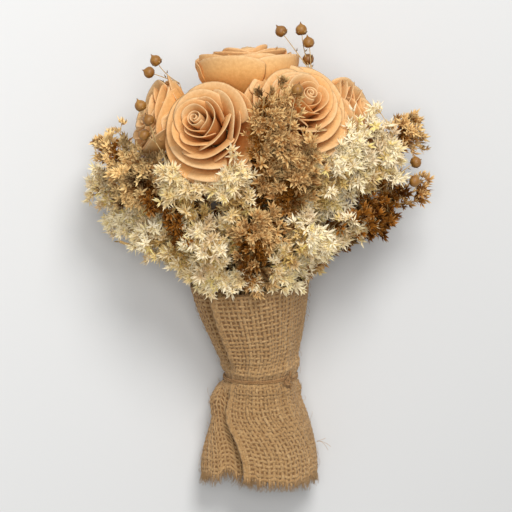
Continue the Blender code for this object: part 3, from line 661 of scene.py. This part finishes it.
def is_free(points):
    """True for points outside the roses' cups and the burlap, above the table and in the box."""
    ok = ((points > LIMIT_LOW) & (points < LIMIT_HIGH)).all(-1)
    for _, rim, facing, size, _ in ROSES:
        foot, axes = rose_axes(rim, facing, size)
        x, y, z = np.moveaxis((points - foot) @ np.linalg.inv(axes).T / MM, -1, 0)
        ok &= ~((np.hypot(x, y) < np.interp(z, CUP_Z, CUP_R)) & (z > CUP_Z[0]) & (z < CUP_Z[-1]))
    local = points - SHIFT
    y = np.clip(local[..., 1] - MOUTH_LEAN * (local[..., 2] - MOUTH_Z), -0.14, 0.0)
    centre = at_station(CENTRES, y)
    wide, high = np.moveaxis(at_station(TABLE[:, 3:5], y), -1, 0)
    across = ((local - centre) * at_station(RIGHT, y)).sum(-1) / (wide + FLORET_CLEAR)
    over = ((local - centre) * at_station(UP, y)).sum(-1) / (high + FLORET_CLEAR)
    return ok & ~((np.hypot(across, over) < 1) & (y < TOP_Y))


# ---- Sprays ----
def knots_of(node, sides, most=99):
    """Centre and radius of each ring of vertices along a CAD tube, from its cut end."""
    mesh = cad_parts[node].data
    points = np.empty(len(mesh.vertices) * 3)
    mesh.vertices.foreach_get("co", points)
    edges = np.empty(len(mesh.edges) * 2, int)
    mesh.edges.foreach_get("vertices", edges)
    points, number = np.unique(np.round(points.reshape(-1, 3), 6), axis=0, return_inverse=True)
    edges = number.ravel()[edges].reshape(-1, 2)
    ring = np.argsort(points @ at_station(ALONG, np.array(-0.100)))[:sides]
    seen = np.zeros(len(points), bool)
    centres, radii = [], []
    while len(ring) == sides and len(centres) < most:
        seen[ring] = True
        centres.append(points[ring].mean(0))
        radii.append(np.linalg.norm(points[ring] - centres[-1], axis=1).mean())
        touching = np.isin(edges, ring).any(1)
        ring = np.unique(edges[touching])
        ring = ring[~seen[ring]]
    return np.array(centres), np.array(radii)


def through(points, parts=5):
    """A smooth curve through points, with parts steps between each two."""
    t = np.linspace(0, 1, parts, endpoint=False)[:, None]
    ends = np.vstack([2 * points[0] - points[1], points, 2 * points[-1] - points[-2]])
    made = []
    for a, b, c, d in zip(ends, ends[1:], ends[2:], ends[3:]):
        made.append(0.5 * (2 * b + (c - a) * t + (2 * a - 5 * b + 4 * c - d) * t**2
                           + (3 * b - a - 3 * c + d) * t**3))
    return np.vstack(made + [points[-1:]])


def along(points, share):
    """Points at shares of a path's length, and the directions there."""
    steps = np.linalg.norm(np.diff(points, axis=0), axis=1)
    length = np.concatenate([[0], np.cumsum(steps)]) / steps.sum()
    where = np.stack([np.interp(share, length, column) for column in points.T], -1)
    ahead = unit(np.gradient(points, axis=0))
    return where, unit(np.stack([np.interp(share, length, column) for column in ahead.T], -1))


def bent(start, leave, end, knots):
    """Curves that leave start along leave and arrive at end: (count, knots, 3)."""
    t = np.linspace(0, 1, knots)[None, :, None]
    middle = start + leave
    return start[:, None] * (1 - t) ** 2 + middle[:, None] * 2 * t * (1 - t) + end[:, None] * t**2


# bracts in a flower, how far they open in degrees, their length and width in mm, and how deep they
# are folded as a share of half their width
HEADS = {
    "statice": (6, (14, 84), (2.9, 6.2), (1.0, 1.7), 0.45),
    "caspia": (5, (14, 66), (3.0, 5.4), (1.2, 1.8), 0.45),
}


def flower_heads(heap, rng, places, ways, depth, tone, kind):
    """A small dry flower at each place: pointed bracts that open round the way it faces."""
    leaves, opened, lengths, widths, keel = HEADS[kind]
    turn = 2 * np.pi * (np.arange(leaves) + rng.uniform(0, 1, (len(places), 1))) / leaves
    turn = turn + rng.uniform(-0.3, 0.3, turn.shape)
    size = rng.uniform(0.75, 1.2, (len(places), 1))
    opened = np.radians(rng.uniform(*opened, turn.shape))[..., None]
    lengths, widths = (rng.uniform(*ends, turn.shape) * MM * size for ends in (lengths, widths))
    facing = unit(ways + (0, 0, 0.3))
    ways = ways[:, None]
    ways = (ways * np.cos(opened) + about(ways, turn) * np.sin(opened)).reshape(-1, 3)
    feet, facing, depth, tone = (np.repeat(a, leaves, axis=0) for a in (places, facing, depth, tone))
    bracts(heap, feet, ways, lengths.ravel(), widths.ravel(), keel, facing, depth=depth, tone=tone)


SPRAY_BRANCHES, SPILL_BRANCHES, TWIGS = 26, 4, 7
BRANCH_RADIUS, BRANCH_TIP, TUFT_RADIUS = 0.00042, 0.00022, 0.00040
TWIG_RADII = (0.00024, 0.0002, 0.00016)  # at a twig's foot, middle and end
TWIG_ROOM, FLOWER_ROOM = 0.002, 0.0028  # free space wanted past a twig's end, and by a flower
GOLDEN_ANGLE = np.radians(137.5)
TUFT_SPREAD = 0.0036
STEPS = np.linspace(0, 1, 40)  # where a spray's path is sampled


def branches(heap, start, leave, end, knots=6, thick=BRANCH_RADIUS):
    """Branches that leave start along leave, each drawn in until its end is free. Those that have
    no free place at all are left out."""
    scale = np.zeros(len(start))
    for share in (0.35, 0.5, 0.65, 0.8, 0.9, 1.0):
        scale = np.where(is_free(start + (end - start) * share), share, scale)
    kept, scale = scale > 0, scale[:, None]
    end, leave = start + (end - start) * scale, leave * scale
    curves = bent(start[kept], leave[kept], end[kept], knots)
    tubes(heap, curves, np.linspace(thick, BRANCH_TIP, knots), 3, slot=1)
    return curves


def grow_spray(heap, rng, path, envelope):
    """Branches in a spiral round a path, out to an envelope."""
    count = SPRAY_BRANCHES
    share = np.clip(np.linspace(0.04, 1, count) + rng.uniform(-0.02, 0.02, count), 0.03, 1)
    start, ahead = along(path, share)
    out = about(ahead, GOLDEN_ANGLE * np.arange(count) + rng.uniform(-0.35, 0.35, count))
    reach = np.interp(share, *envelope) * rng.uniform(0.72, 1.12, count)
    onward = reach * rng.uniform(0.7, 1.3, count) * (1 - smooth_step((share - 0.82) / 0.18))
    end = start + out * reach[:, None] + ahead * (onward + 0.002)[:, None]
    return branches(heap, start, (ahead * 0.55 + out * 0.25) * reach[:, None], end, 5)


def dress(heap, rng, kind, curves, path, envelope, lightness):
    """Side twigs on each branch, and a flower on each branch, twig and halfway up each twig.

    A flower is paler the nearer it is to the envelope, which paints shade into the spray's inside.
    lightness is how pale one of no tone is there, and a flower of full tone is as pale there as in any
    other spray.
    """
    count, knots = curves.shape[:2]
    t = rng.uniform(0.30, 0.98, (count, TWIGS)) * (knots - 1)
    low = np.minimum(t.astype(int), knots - 2)
    part = (t - low)[..., None]
    row = np.arange(count)[:, None]
    before, after = curves[row, low], curves[row, low + 1]
    feet = (before * (1 - part) + after * part).reshape(-1, 3)
    trend = unit(after - before).reshape(-1, 3)
    aside = about(trend, rng.uniform(0, 2 * np.pi, len(feet)))
    length = rng.uniform(2.0, 5.2, (len(feet), 1)) * MM
    ways = unit(trend * rng.uniform(0.5, 1.3, (len(feet), 1)) + aside)
    tips = feet + ways * length
    fine = is_free(tips + ways * TWIG_ROOM)
    feet, ways, tips, trend, length = (a[fine] for a in (feet, ways, tips, trend, length))
    shoots = bent(feet, trend * (length * 0.45), tips, 3)
    tubes(heap, shoots, TWIG_RADII, 3, slot=1)

    ends = np.concatenate([curves[:, -1], tips, (feet + tips) / 2])
    heads = np.concatenate([unit(curves[:, -1] - curves[:, -2]), ways, unit(ways + 0.7 * trend)])
    line, onward = along(path, STEPS)
    away = np.linalg.norm(ends[:, None] - line[None], axis=2)
    beside = away.argmin(1)
    heads = unit(heads + 0.5 * onward[beside] + (0, 0, 0.20) + rng.normal(0, 0.2, heads.shape))
    fine = is_free(ends + heads * FLOWER_ROOM) & is_free(ends)
    ends, heads = ends[fine], heads[fine]
    deepest = np.interp(STEPS, *envelope)[beside[fine]]
    tone = np.clip(rng.normal(0.35, 0.28, len(ends)), 0, 1)
    # painted shade: flowers far inside the envelope get the deep colour
    outward = np.clip(away.min(1)[fine] / deepest, 0, 1) ** 0.9
    flower_heads(heap, rng, ends, heads, (lightness + (1 - lightness) * tone) * outward, tone, kind)


def spill(heap, rng, path):
    """Low branches that arch out over the burlap's mouth and hang a little way down it."""
    count = SPILL_BRANCHES
    start, _ = along(path, rng.uniform(0.01, 0.14, count))
    foot = path[0] - SHIFT - at_station(CENTRES, FAN_Y)
    clock = math.atan2(foot @ at_station(RIGHT, FAN_Y), foot @ at_station(UP, FAN_Y))
    angle = clock + np.radians(rng.uniform(-16, 16, count))
    over = roll_point(TOP_Y + 0.016, angle, 0.0015)
    y, off = TOP_Y + rng.uniform(0.0025, 0.0140, count), rng.uniform(0.0018, 0.0056, count)
    return branches(heap, start, over - start, roll_point(y, angle, off))


def tuft(heap, rng, path, aim, count):
    """A clump: branches from one stretch of a path that all end round one place, in metres."""
    line, _ = along(path, STEPS)
    nearest = np.linalg.norm(line - aim, axis=1).argmin() / (len(STEPS) - 1)
    start, ahead = along(path, np.clip(nearest - rng.uniform(0.05, 0.22, count), 0.02, 0.95))
    end = aim + rng.normal(0, TUFT_SPREAD, (count, 3))
    leave = ahead * (0.45 * np.linalg.norm(end - start, axis=1))[:, None]
    return branches(heap, start, leave, end, thick=TUFT_RADIUS)


def spray(name):
    rng = seeded(name)
    kind = name.split("_")[0]
    centres, radii = knots_of(name, 6)
    free = through(centres[3:])
    heap = Heap()
    stem = np.vstack([centres[:3], free])
    thick = np.concatenate([[STALK_THICK] * 3, np.linspace(STALK_THIN, 0.0005, len(free))])
    tubes(heap, stem[None], thick, 6, slot=1)
    length = np.linspace(0, 1, len(centres) - 3)
    proud = np.interp(length, (0, 0.1, 0.3, 0.85, 1), (0.003, 0.0065, 0.0055, 0.0045, 0.0020))
    envelope = (length, (radii[3:] + proud) * SLENDER.get(name, 1.0))
    lightness, clumps = TUFTS.get(name, (1.0, ()))
    dress(heap, rng, kind, grow_spray(heap, rng, free, envelope), free, envelope, lightness)
    if name not in BARE_SIDE:
        dress(heap, rng, kind, spill(heap, rng, free), free, envelope, lightness)
    for x, y, z, count, *own in clumps:
        grown = tuft(heap, rng, free, here((x * MM, y * MM, z * MM)), count)
        dress(heap, rng, kind, grown, free, envelope, *(own or [lightness]))
    made = heap.piece(name + "_spray", [STATICE if kind == "statice" else CASPIA, TWIG], smooth=False)
    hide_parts(name)


STALK_THICK, STALK_THIN = 0.0019, 0.0011  # radius below and above the fork of the bundle
# how light each spray is painted, 1 where it isn't listed, which sets how deep its painted shade goes,
# and the clumps that stand out of it: the place of each in mm in the modelling frame, its branches,
# and how light it is where that differs
TUFTS = {
    "statice_right_inner": (1.4, (
        (57, 66, 104, 5), (59, 78, 102, 5), (65, 84, 100, 4), (65, 71, 100, 5), (48, 58, 105, 5),
        (45, 40, 93, 4), (58, 55, 98, 4), (43, 63, 109, 5), (50, 70, 107, 5), (37, 56, 109, 4),
    )),
    "statice_right": (1.4, (
        (80, 48, 78, 4), (75, 53, 80, 3), (52, 26, 74, 4), (71, 84, 96, 4), (71, 78, 92, 5),
        (79, 70, 88, 5), (66, 58, 92, 4), (84, 60, 84, 5), (62, 50, 84, 4), (60, 40, 80, 4),
        (54, 32, 80, 4), (68, 42, 74, 4),
    )),
    "caspia_centre": (1.0, (
        (16, 95, 143, 3), (10, 84, 141, 5), (6, 74, 134, 5), (15, 68, 134, 5), (20, 77, 134, 5),
        (22, 87, 136, 4), (22, 58, 124, 5), (4, 60, 124, 5), (12, 51, 120, 5), (3, 46, 116, 4),
    )),
    "caspia_front_right": (1.0, (
        (30, 70, 130, 5), (34, 62, 126, 5), (27, 56, 120, 4), (27, 48, 114, 4), (20, 43, 113, 4),
        (30, 34, 100, 4), (12, 36, 104, 4),
    )),
    "caspia_low_front": (1.0, ((4, 25, 111, 4), (9, 13, 105, 4), (3, 5, 98, 3))),
    "caspia_left_mid": (1.6, (
        (-63, 33, 95, 5, 0.1), (-55, 27, 100, 5, 0.1), (-49, 18, 101, 5, 0.1), (-44, 9, 96, 5, 0.1),
        (-62, 56, 88, 4), (-58, 63, 90, 3), (-78, 71, 92, 5), (-71, 58, 92, 5), (-65, 47, 92, 5),
        (-80, 48, 86, 4), (-88, 55, 78, 4), (-82, 38, 76, 4), (-75, 33, 72, 4),
    )),
    "caspia_left": (1.6, ((-92, 65, 62, 4), (-88, 48, 64, 4), (-84, 36, 60, 3))),
    "statice_front_mid": (0.85, (
        (-12, 55, 127, 4), (-13, 60, 133, 3), (-8, 45, 122, 4), (-19, 43, 120, 4), (-27, 42, 116, 4),
    )),
    "statice_front_left": (0.8, (
        (-48, 48, 113, 5), (-53, 41, 106, 4), (-31, 42, 113, 4), (-40, 40, 110, 4), (-56, 53, 104, 3),
    )),
    "statice_left": (1.4, ((-90, 52, 56, 4), (-96, 47, 50, 3), (-78, 28, 52, 4), (-70, 21, 52, 4))),
    "statice_low_left": (1.4, ((-66, 27, 72, 4),)),
    "statice_low_front_right": (1.25, (
        (29, -17, 68, 3), (38, 2, 92, 4), (27, -11, 70, 4), (30, -8, 66, 3),
    )),
    "statice_low_front_left": (1.1, (
        (-25, 4, 100, 4), (-32, -9, 90, 4), (-37, -15, 62, 4), (-39, -12, 58, 3), (-10, -16, 80, 4),
    )),
    "statice_low_right": (1.0, ((44, 9, 92, 4), (52, 24, 92, 4))),
    "caspia_side_right": (0.1, (
        (70, 36, 74, 4), (77, 33, 70, 4), (66, 25, 90, 5), (72, 22, 84, 4), (78, 25, 72, 4),
        (60, 19, 92, 5), (66, 18, 90, 4), (64, 37, 66, 4), (79, 47, 66, 4), (52, 22, 90, 3),
    )),
    "caspia_right": (1.2, (
        (90, 78, 52, 4), (97, 70, 50, 3), (78, 40, 50, 4), (76, 54, 50, 5), (82, 50, 44, 5),
        (70, 60, 52, 4),
    )),
    "statice_side_left": (1.4, ()),
}
# sprays that keep closer to their path than the rest
SLENDER = {"statice_low_right": 0.2, "caspia_side_right": 0.42, "statice_side_left": 0.8}
# sprays that leave the wrap's open side bare
BARE_SIDE = ("statice_left", "statice_side_left", "statice_low_left", "caspia_left")


# ---- Flax and the cut twig ----
STALK_SINK = 0.006  # how far a stalk settles down among the sprays
POD_STALK = (0.00034, 0.00024)  # radius of a pod's own stalk at the fork and at the pod
POD_OUTLINE = ((0.06, 0.16), (0.10, 0.45), (0.30, 0.78), (0.62, 0.98), (1.00, 1.04), (1.35, 0.95),
               (1.65, 0.70), (1.84, 0.40), (1.98, 0.20), (2.16, 0.11), (2.36, 0.04))


def pod(heap, rng, foot, out):
    """A round seed pod with ten ribs, a sharp point and small dry sepals under it."""
    around = 20
    angle = 2 * np.pi * np.arange(around) / around + rng.uniform(0, 6)
    z, r = np.array(POD_OUTLINE).T * POD_RADIUS
    rib = 1 - 0.055 * (np.arange(around) % 2)
    fine = r[:, None] * rib * (1 + 0.03 * np.sin(angle + rng.uniform(0, 6)))
    points = foot + out * z[:, None, None] + about(out, angle)[None] * fine[..., None]
    caps = [np.arange(around)[::-1][None], (len(z) - 1) * around + np.arange(around)[None]]
    faces = [grid_faces(len(z), around, True)] + caps
    rise = np.repeat(np.linspace(0, 1, len(z)), around)
    heap.add(points, faces, rise=rise, tone=rng.uniform(0, 1))
    circle = about(out, np.radians(72) * np.arange(5) + rng.uniform(0, 6))
    ways = unit(circle + out * rng.uniform(0.5, 1.0))
    bracts(heap, foot + circle * 0.0006, ways, 0.0042, 0.0015, 0.3, slot=2)


def flax(name, ring, fork, pods):
    rng = seeded(name)
    heap = Heap()
    bundle, _ = knots_of(name, 6, 4)
    fork = here(fork)
    leaving = unit(bundle[3] - bundle[2])
    reach = np.linalg.norm(fork - bundle[3])
    bend = bundle[3] + leaving * reach * (BEND - BEND_DROP * ring)
    t = np.linspace(0, 1, 24)[1:, None]
    stalk = np.vstack([bundle, bundle[3] * (1 - t) ** 2 + bend * 2 * t * (1 - t) + fork * t**2])
    stalk[4:, 2] -= STALK_SINK * np.sin(np.pi * t[:, 0])
    thick = np.interp(np.arange(len(stalk)), (0, 2, 3, 8, len(stalk)),
                      (STALK_THICK, STALK_THICK, STALK_THIN, 0.0004, 0.00026))
    tubes(heap, stalk[None], thick, 6, slot=1)
    for place in pods:
        place = here(place)
        away = unit(place - fork)
        foot = place - away * POD_RADIUS
        bow = np.array((rng.normal(0, 0.0012), rng.normal(0, 0.0012), 0.0016))
        twig = bent(fork[None], (foot - fork)[None] * 0.5 + bow, foot[None], 12)
        tubes(heap, twig, np.linspace(*POD_STALK, 12), 5, slot=1)
        out = unit(twig[0, -1] - twig[0, -2])
        pod(heap, rng, foot, out)
        hip = twig[0, 6]
        nub = unit(np.cross(out, (0.3, 0.2, 1.0)) + out)
        bracts(heap, hip[None], nub[None], 0.0030, 0.0008, 0.4, slot=1)
    made = heap.piece(name + "_stalk", [POD, PALE_TWIG, TWIG])
    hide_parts(name)


def cut_stalk():
    """A bare stalk that was trimmed: knobbly where its leaves were."""
    centres, radii = knots_of("cut_twig", 8)
    path = through(centres, 6)
    thick = np.interp(np.linspace(0, 1, len(path)), (0, 0.42, 0.5, 1), (0.0020, 0.0020, 0.0012, 0.0009))
    thick = thick * (1 + 0.22 * (np.arange(len(path)) % 7 == 3))
    heap = Heap()
    tubes(heap, path[None], thick, 8)
    rng = seeded("cut_twig")
    nubs = path[30::6]
    ways = unit(rng.normal(0, 1, nubs.shape) + (-0.8, 0.6, 0.4))
    bracts(heap, nubs, ways, 0.0035, 0.0011, 0.5)
    made = heap.piece("cut_stalk", [TWIG])
    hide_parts("cut_twig")


# ---- Burlap and twine ----
WARPS = 110  # yarns along the posy, side by side round the roll
WEFTS = 43  # yarns round the roll, from hem to mouth
YARN_RADIUS = 0.00098
YARN_FLAT = 0.46  # a yarn's thickness as a share of its width
CROSSING = 0.00032  # how far a yarn rises over another and dips under it
SUNK = 0.0002  # how far the yarns' middles lie under the cloth's middle
BARE_HEM = 0.034  # share of the height that has lost its wefts at the hem
TOP_WEFT = 0.998  # share of the height at which the last weft lies
GROUND_STEPS, GROUND_THICKNESS = (40, 140), 0.0003  # of the sheet that closes the weave, coloured dark as painted shade seen through its holes
CLOTH_CLEAR, HAIR_CLEAR = 0.0007, 0.0005  # how far yarns and loose hairs stay above the table
# where frayed ends leave the cloth and where they start, as shares of its height, the most that
# they are long, and how many there are to a warp: at the hem, and at the mouth
FRAYED = ((0.008, 0.040, 0.0064, 15), (1.0, 0.985, 0.0020, 1))
FRAY_PAST = 0.0060  # how far they may pass the limits at the hem
HAIRS = 460
STRAY_Y = -0.1165  # where three long fibres stick out at the right


def sag(turned, share, seed):
    """A slow sideways wander of the yarns, from about -1 to 1."""
    return (np.sin(turned * 0.051 + 7 * share + seed) + np.sin(turned * 0.127 - 17 * share + 2 * seed)
            + np.sin(turned * 0.31 + 29 * share + 3 * seed)) / 3


def cloth_place(turned, share, proud):
    """Points on the cloth at shares of its height, proud metres off it, and the way out there."""
    hem = hem_at(turned)
    y = hem + (TOP_Y - hem) * share
    middle = cloth(turned, y)
    out = unit(cloth(turned, y, 0.001) - middle)
    points = middle + out * np.asarray(proud)[..., None]
    points[..., 2] = np.maximum(points[..., 2], CLOTH_CLEAR)
    return points, out


def yarns(name, turned, share, over, rng):
    """Yarns that each pass over and under their crossings: over is 1, -1 or 0 at each knot."""
    paths, out = cloth_place(turned, share, over * CROSSING - SUNK)
    count = len(paths)
    swell = np.sin(share * 40 + turned * 0.21 + rng.uniform(0, 6, (count, 1)))
    thick = YARN_RADIUS * np.clip(rng.normal(1, 0.12, (count, 1)), 0.7, 1.35)
    thick = thick * (1 + 0.15 * rng.uniform(0, 1, (count, 1)) * swell)
    thick = thick * np.interp(share, (0, BARE_HEM), (0.22, 1.0))
    heap = Heap()
    tubes(heap, paths, thick, 5, out, YARN_FLAT, strand=rng.uniform(0, 90, count),
          tone=rng.uniform(0, 0.7, count))
    return heap.piece(name, [YARN])


def burlap():
    rng = seeded("burlap")
    pitch = BURLAP_TURN / (WARPS - 2)
    warps = np.concatenate([[0, 0.5], np.arange(1, WARPS - 1) + rng.normal(0, 0.09, WARPS - 2)])
    warps = np.clip(warps * pitch, 0, BURLAP_TURN)
    wefts = (np.arange(WEFTS) + rng.normal(0, 0.08, WEFTS)) / (WEFTS - 1)
    wefts = BARE_HEM + (TOP_WEFT - BARE_HEM) * np.clip(wefts, 0, 1)

    knot = np.arange(2 * WEFTS + 1)[None] + np.zeros((WARPS, 1))
    share = np.interp(knot / 2, np.arange(WEFTS + 1), np.concatenate([[0], wefts]))
    over = np.where((knot // 2 + np.arange(WARPS)[:, None]) % 2, 1.0, -1.0) * (knot % 2 == 0)
    turned = np.clip(warps[:, None] + 0.17 * pitch * sag(warps[:, None], share, 0.4), 0, BURLAP_TURN)
    warp = yarns("burlap_warp", turned, share, over, rng)

    knot = np.arange(2 * WARPS - 1)[None] + np.zeros((WEFTS, 1))
    turned = np.interp(knot / 2, np.arange(WARPS), warps)
    over = np.where((knot // 2 + 1 + np.arange(WEFTS)[:, None]) % 2, -1.0, 1.0) * (knot % 2 == 0)
    share = np.clip(wefts[:, None] + 0.20 / WEFTS * sag(turned, wefts[:, None], 1.7), 0.002, 0.999)
    weft = yarns("burlap_weft", turned, share, over, rng)

    fray = fringe(rng, warps)
    # the dark sheet under the yarns is painted shade in the holes of the weave
    turned = np.linspace(0, BURLAP_TURN, GROUND_STEPS[1])
    turned, share = np.meshgrid(turned, np.linspace(BARE_HEM * 0.8, 1, GROUND_STEPS[0]))
    points, _ = cloth_place(turned, share, -SUNK - 0.0001)
    strand = np.stack([turned * 0.5, share * 120, turned * 0], -1)
    heap = Heap()
    heap.add(points, [grid_faces(*GROUND_STEPS)], strand=strand.reshape(-1, 3), tone=0.5)
    ground = heap.piece("burlap_shade_sheet", [HOLE_SHADE])
    thicken(ground, GROUND_THICKNESS)
    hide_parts("burlap_wrap")


def fringe(rng, warps):
    """The frayed ends past the last weft at the hem and the mouth, and loose hairs on the cloth."""
    heap = Heap()
    for end, back, most, strands in FRAYED:
        count = WARPS * strands
        turned = np.clip(np.repeat(warps, strands) + rng.normal(0, 2.2, count), 0, BURLAP_TURN)
        start, _ = cloth_place(turned, back, -SUNK)
        edge, out = cloth_place(turned, end, -SUNK)
        way = unit(edge - start)
        swing = np.cross(way, out) * rng.normal(0, 0.85, (count, 1))
        length = most * rng.uniform(0.2, 1.0, (count, 1))
        tip = edge + unit(way + swing + out * rng.normal(0, 0.25, (count, 1))) * length
        tip = np.clip(tip, LIMIT_LOW - (0, FRAY_PAST, 0), LIMIT_HIGH)
        paths = bent(start, (edge - start) * 1.1, tip, 5)
        paths[..., 2] = np.maximum(paths[..., 2], HAIR_CLEAR)
        thick = np.linspace(0.00022, 0.00009, 5) * rng.uniform(0.6, 1.1, (count, 1))
        number = rng.uniform(0, 90, count)
        tubes(heap, paths, thick, 3, strand=number, tone=rng.uniform(0, 0.3, count))
    turned = rng.uniform(0, 330, HAIRS)
    foot, out = cloth_place(turned, rng.uniform(0, 0.95, HAIRS), 0.0004)
    flat = about(out, rng.uniform(0, 2 * np.pi, HAIRS))
    length = rng.uniform(0.0025, 0.0075, (HAIRS, 1))
    tip = foot + flat * length + out * rng.uniform(-0.0004, 0.0020, (HAIRS, 1))
    tip[:, 2] = np.maximum(tip[:, 2], HAIR_CLEAR)
    hairs = bent(foot, (flat * 0.5 + out * 0.35) * length, tip, 5)
    tubes(heap, hairs, 0.00008, 3, strand=rng.uniform(0, 90, HAIRS), tone=0.0)
    foot = roll_point(STRAY_Y, np.radians((88.0, 91.0, 94.0)), 0.0012)
    tip = foot + ((0.0085, -0.0030, 0.003), (0.0070, -0.0055, 0.001), (0.0055, 0.0020, 0.0))
    strays = bent(foot, np.full((3, 3), (0.004, 0.001, 0.001)), tip, 6)
    tubes(heap, strays, 0.00013, 4, strand=(3, 9, 15), tone=0.1)
    return heap.piece("burlap_fringe", [YARN])


TWINE_RADIUS = 0.00062
TWIST = 2600.0  # how far the twine's two strands are twisted, in radians a metre
KNOT_WINDS, KNOT_HAIRS = 3.5, 60


def twine():
    """Two turns of two-ply string round the waist, a knot in front and its short ends."""
    heap = Heap()
    rng = seeded("twine")

    def string(path, radius):
        """Two strands that wind round each other along path."""
        ahead = unit(np.gradient(path, axis=0))
        length = np.concatenate([[0], np.cumsum(np.linalg.norm(np.diff(path, axis=0), axis=1))])
        for ply in (0, math.pi):
            strand = path + about(ahead, TWIST * length + ply) * radius * 0.52
            tubes(heap, strand[None], radius * 0.60, 6, strand=rng.uniform(0, 90, 1), tone=0.3)

    def round_waist(degrees, y, out):
        return roll_point(y, np.radians(degrees), out)

    t = np.linspace(0, 1, 420)
    string(round_waist(KNOT_ANGLE + 720 * t, TIE[1] - 0.0012 + 0.0024 * t, 0.00020), TWINE_RADIUS)
    t = np.linspace(0, 1, 26)
    for side, lift in ((-1, 0.0014), (1, 0.0020)):
        y = TIE[1] + side * (0.0010 + 0.0052 * t)
        off = lift + 0.0008 * t + 0.0005 * np.sin(5 * t)
        string(round_waist(KNOT_ANGLE + 2 + 5 * t, y, off), TWINE_RADIUS)
    wound = 2 * np.pi * KNOT_WINDS * np.linspace(0, 1, 90)
    degrees = KNOT_ANGLE + 3.6 * np.cos(wound) * np.cos(0.37 * wound)
    y = TIE[1] + 0.0019 * np.sin(wound) + 0.0007 * np.sin(0.61 * wound)
    string(round_waist(degrees, y, 0.0016 + 0.0011 * np.sin(0.83 * wound)), TWINE_RADIUS * 1.15)
    turn = rng.uniform(0, 2 * np.pi, KNOT_HAIRS)
    across, up = np.cos(turn), np.sin(turn)
    out = rng.uniform(0.0018, 0.0040, KNOT_HAIRS)
    ends = round_waist(KNOT_ANGLE + 9 * across, TIE[1] + 0.0042 * up, out)
    foot = round_waist(KNOT_ANGLE + 3 * across, TIE[1] + 0.0014 * up, 0.0018)
    hair = bent(foot, (ends - foot) * 0.5 + (0, 0, 0.0012), ends, 5)
    tubes(heap, hair, 0.0001, 3, strand=rng.uniform(0, 90, KNOT_HAIRS), tone=0.1)
    made = heap.piece("waist_twine", [STRING])
    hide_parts("twine")


# ---- The whole posy ----
for values in ROSES:
    rose(*values)
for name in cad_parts:
    if name.startswith(("statice_", "caspia_")):
        spray(name)
for values in FLAX:
    flax(*values)
cut_stalk()
burlap()
twine()
for name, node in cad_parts.items():
    if name.endswith("_stem") or name == "stem_tape":
        node.data.materials.clear()
        node.data.materials.append(TAPE)

# ---- Floor, light and camera ----
FLOOR_SIZE, FLOOR_STEPS = 8.0, 9
steps = np.linspace(-FLOOR_SIZE / 2, FLOOR_SIZE / 2, FLOOR_STEPS)
rows, columns = np.meshgrid(steps, steps, indexing="ij")
floor_mesh = bpy.data.meshes.new("floor")
floor_points = np.stack([columns, rows, rows * 0], -1).reshape(-1, 3)
floor_mesh.from_pydata(floor_points.tolist(), [], grid_faces(FLOOR_STEPS, FLOOR_STEPS).tolist())
floor_mesh.materials.append(floor_paper())
floor = new_object("floor", floor_mesh)


LIT = Vector((0, 0, 0.05))  # what the lamps point at


def area_light(name, place, size, power):
    data = bpy.data.lights.new(name, "AREA")
    data.shape, data.size, data.energy = "DISK", size, power
    light = new_object(name, data)
    light.location = place
    light.rotation_euler = (LIT - Vector(place)).to_track_quat("-Z", "Y").to_euler()


area_light("window", (0.36, 1.15, 1.75), 0.9, 28)
area_light("overhead", (0.00, 0.05, 2.60), 1.2, 25)

AMBIENT = 0.33  # strength of the plain white light from all round
BACKDROP = (0.86, 0.86, 0.87, 1)  # what the camera and shiny surfaces see instead of it
world = bpy.data.worlds.new("studio")
bpy.context.scene.world = world
world.use_nodes = True
nodes, links = world.node_tree.nodes, world.node_tree.links
ambient = nodes["Background"]
ambient.inputs["Color"].default_value = (1, 1, 1, 1)
ambient.inputs["Strength"].default_value = AMBIENT
shown = nodes.new("ShaderNodeBackground")
shown.inputs["Color"].default_value = BACKDROP
rays, choose = nodes.new("ShaderNodeLightPath"), nodes.new("ShaderNodeMixShader")
sees = rays.outputs["Is Camera Ray"]
for kind in ("Is Glossy Ray", "Is Transmission Ray"):
    either = nodes.new("ShaderNodeMath")
    either.operation = "MAXIMUM"
    links.new(sees, either.inputs[0])
    links.new(rays.outputs[kind], either.inputs[1])
    sees = either.outputs[0]
links.new(sees, choose.inputs[0])
links.new(ambient.outputs[0], choose.inputs[1])
links.new(shown.outputs[0], choose.inputs[2])
links.new(choose.outputs[0], nodes["World Output"].inputs[0])

CAMERA_HEIGHT = 2.2
FRAME_WIDTH = 512 * 0.00061  # metres across the view at the height of FRAME_Z
FRAME_Z = 0.07
camera = new_object("camera", bpy.data.cameras.new("camera"))
camera.location = (SHIFT[0], SHIFT[1], CAMERA_HEIGHT)
camera.data.lens = camera.data.sensor_width * (CAMERA_HEIGHT - FRAME_Z) / FRAME_WIDTH
bpy.context.scene.camera = camera

bpy.context.scene.view_settings.view_transform = "Standard"
bpy.context.view_layer.update()
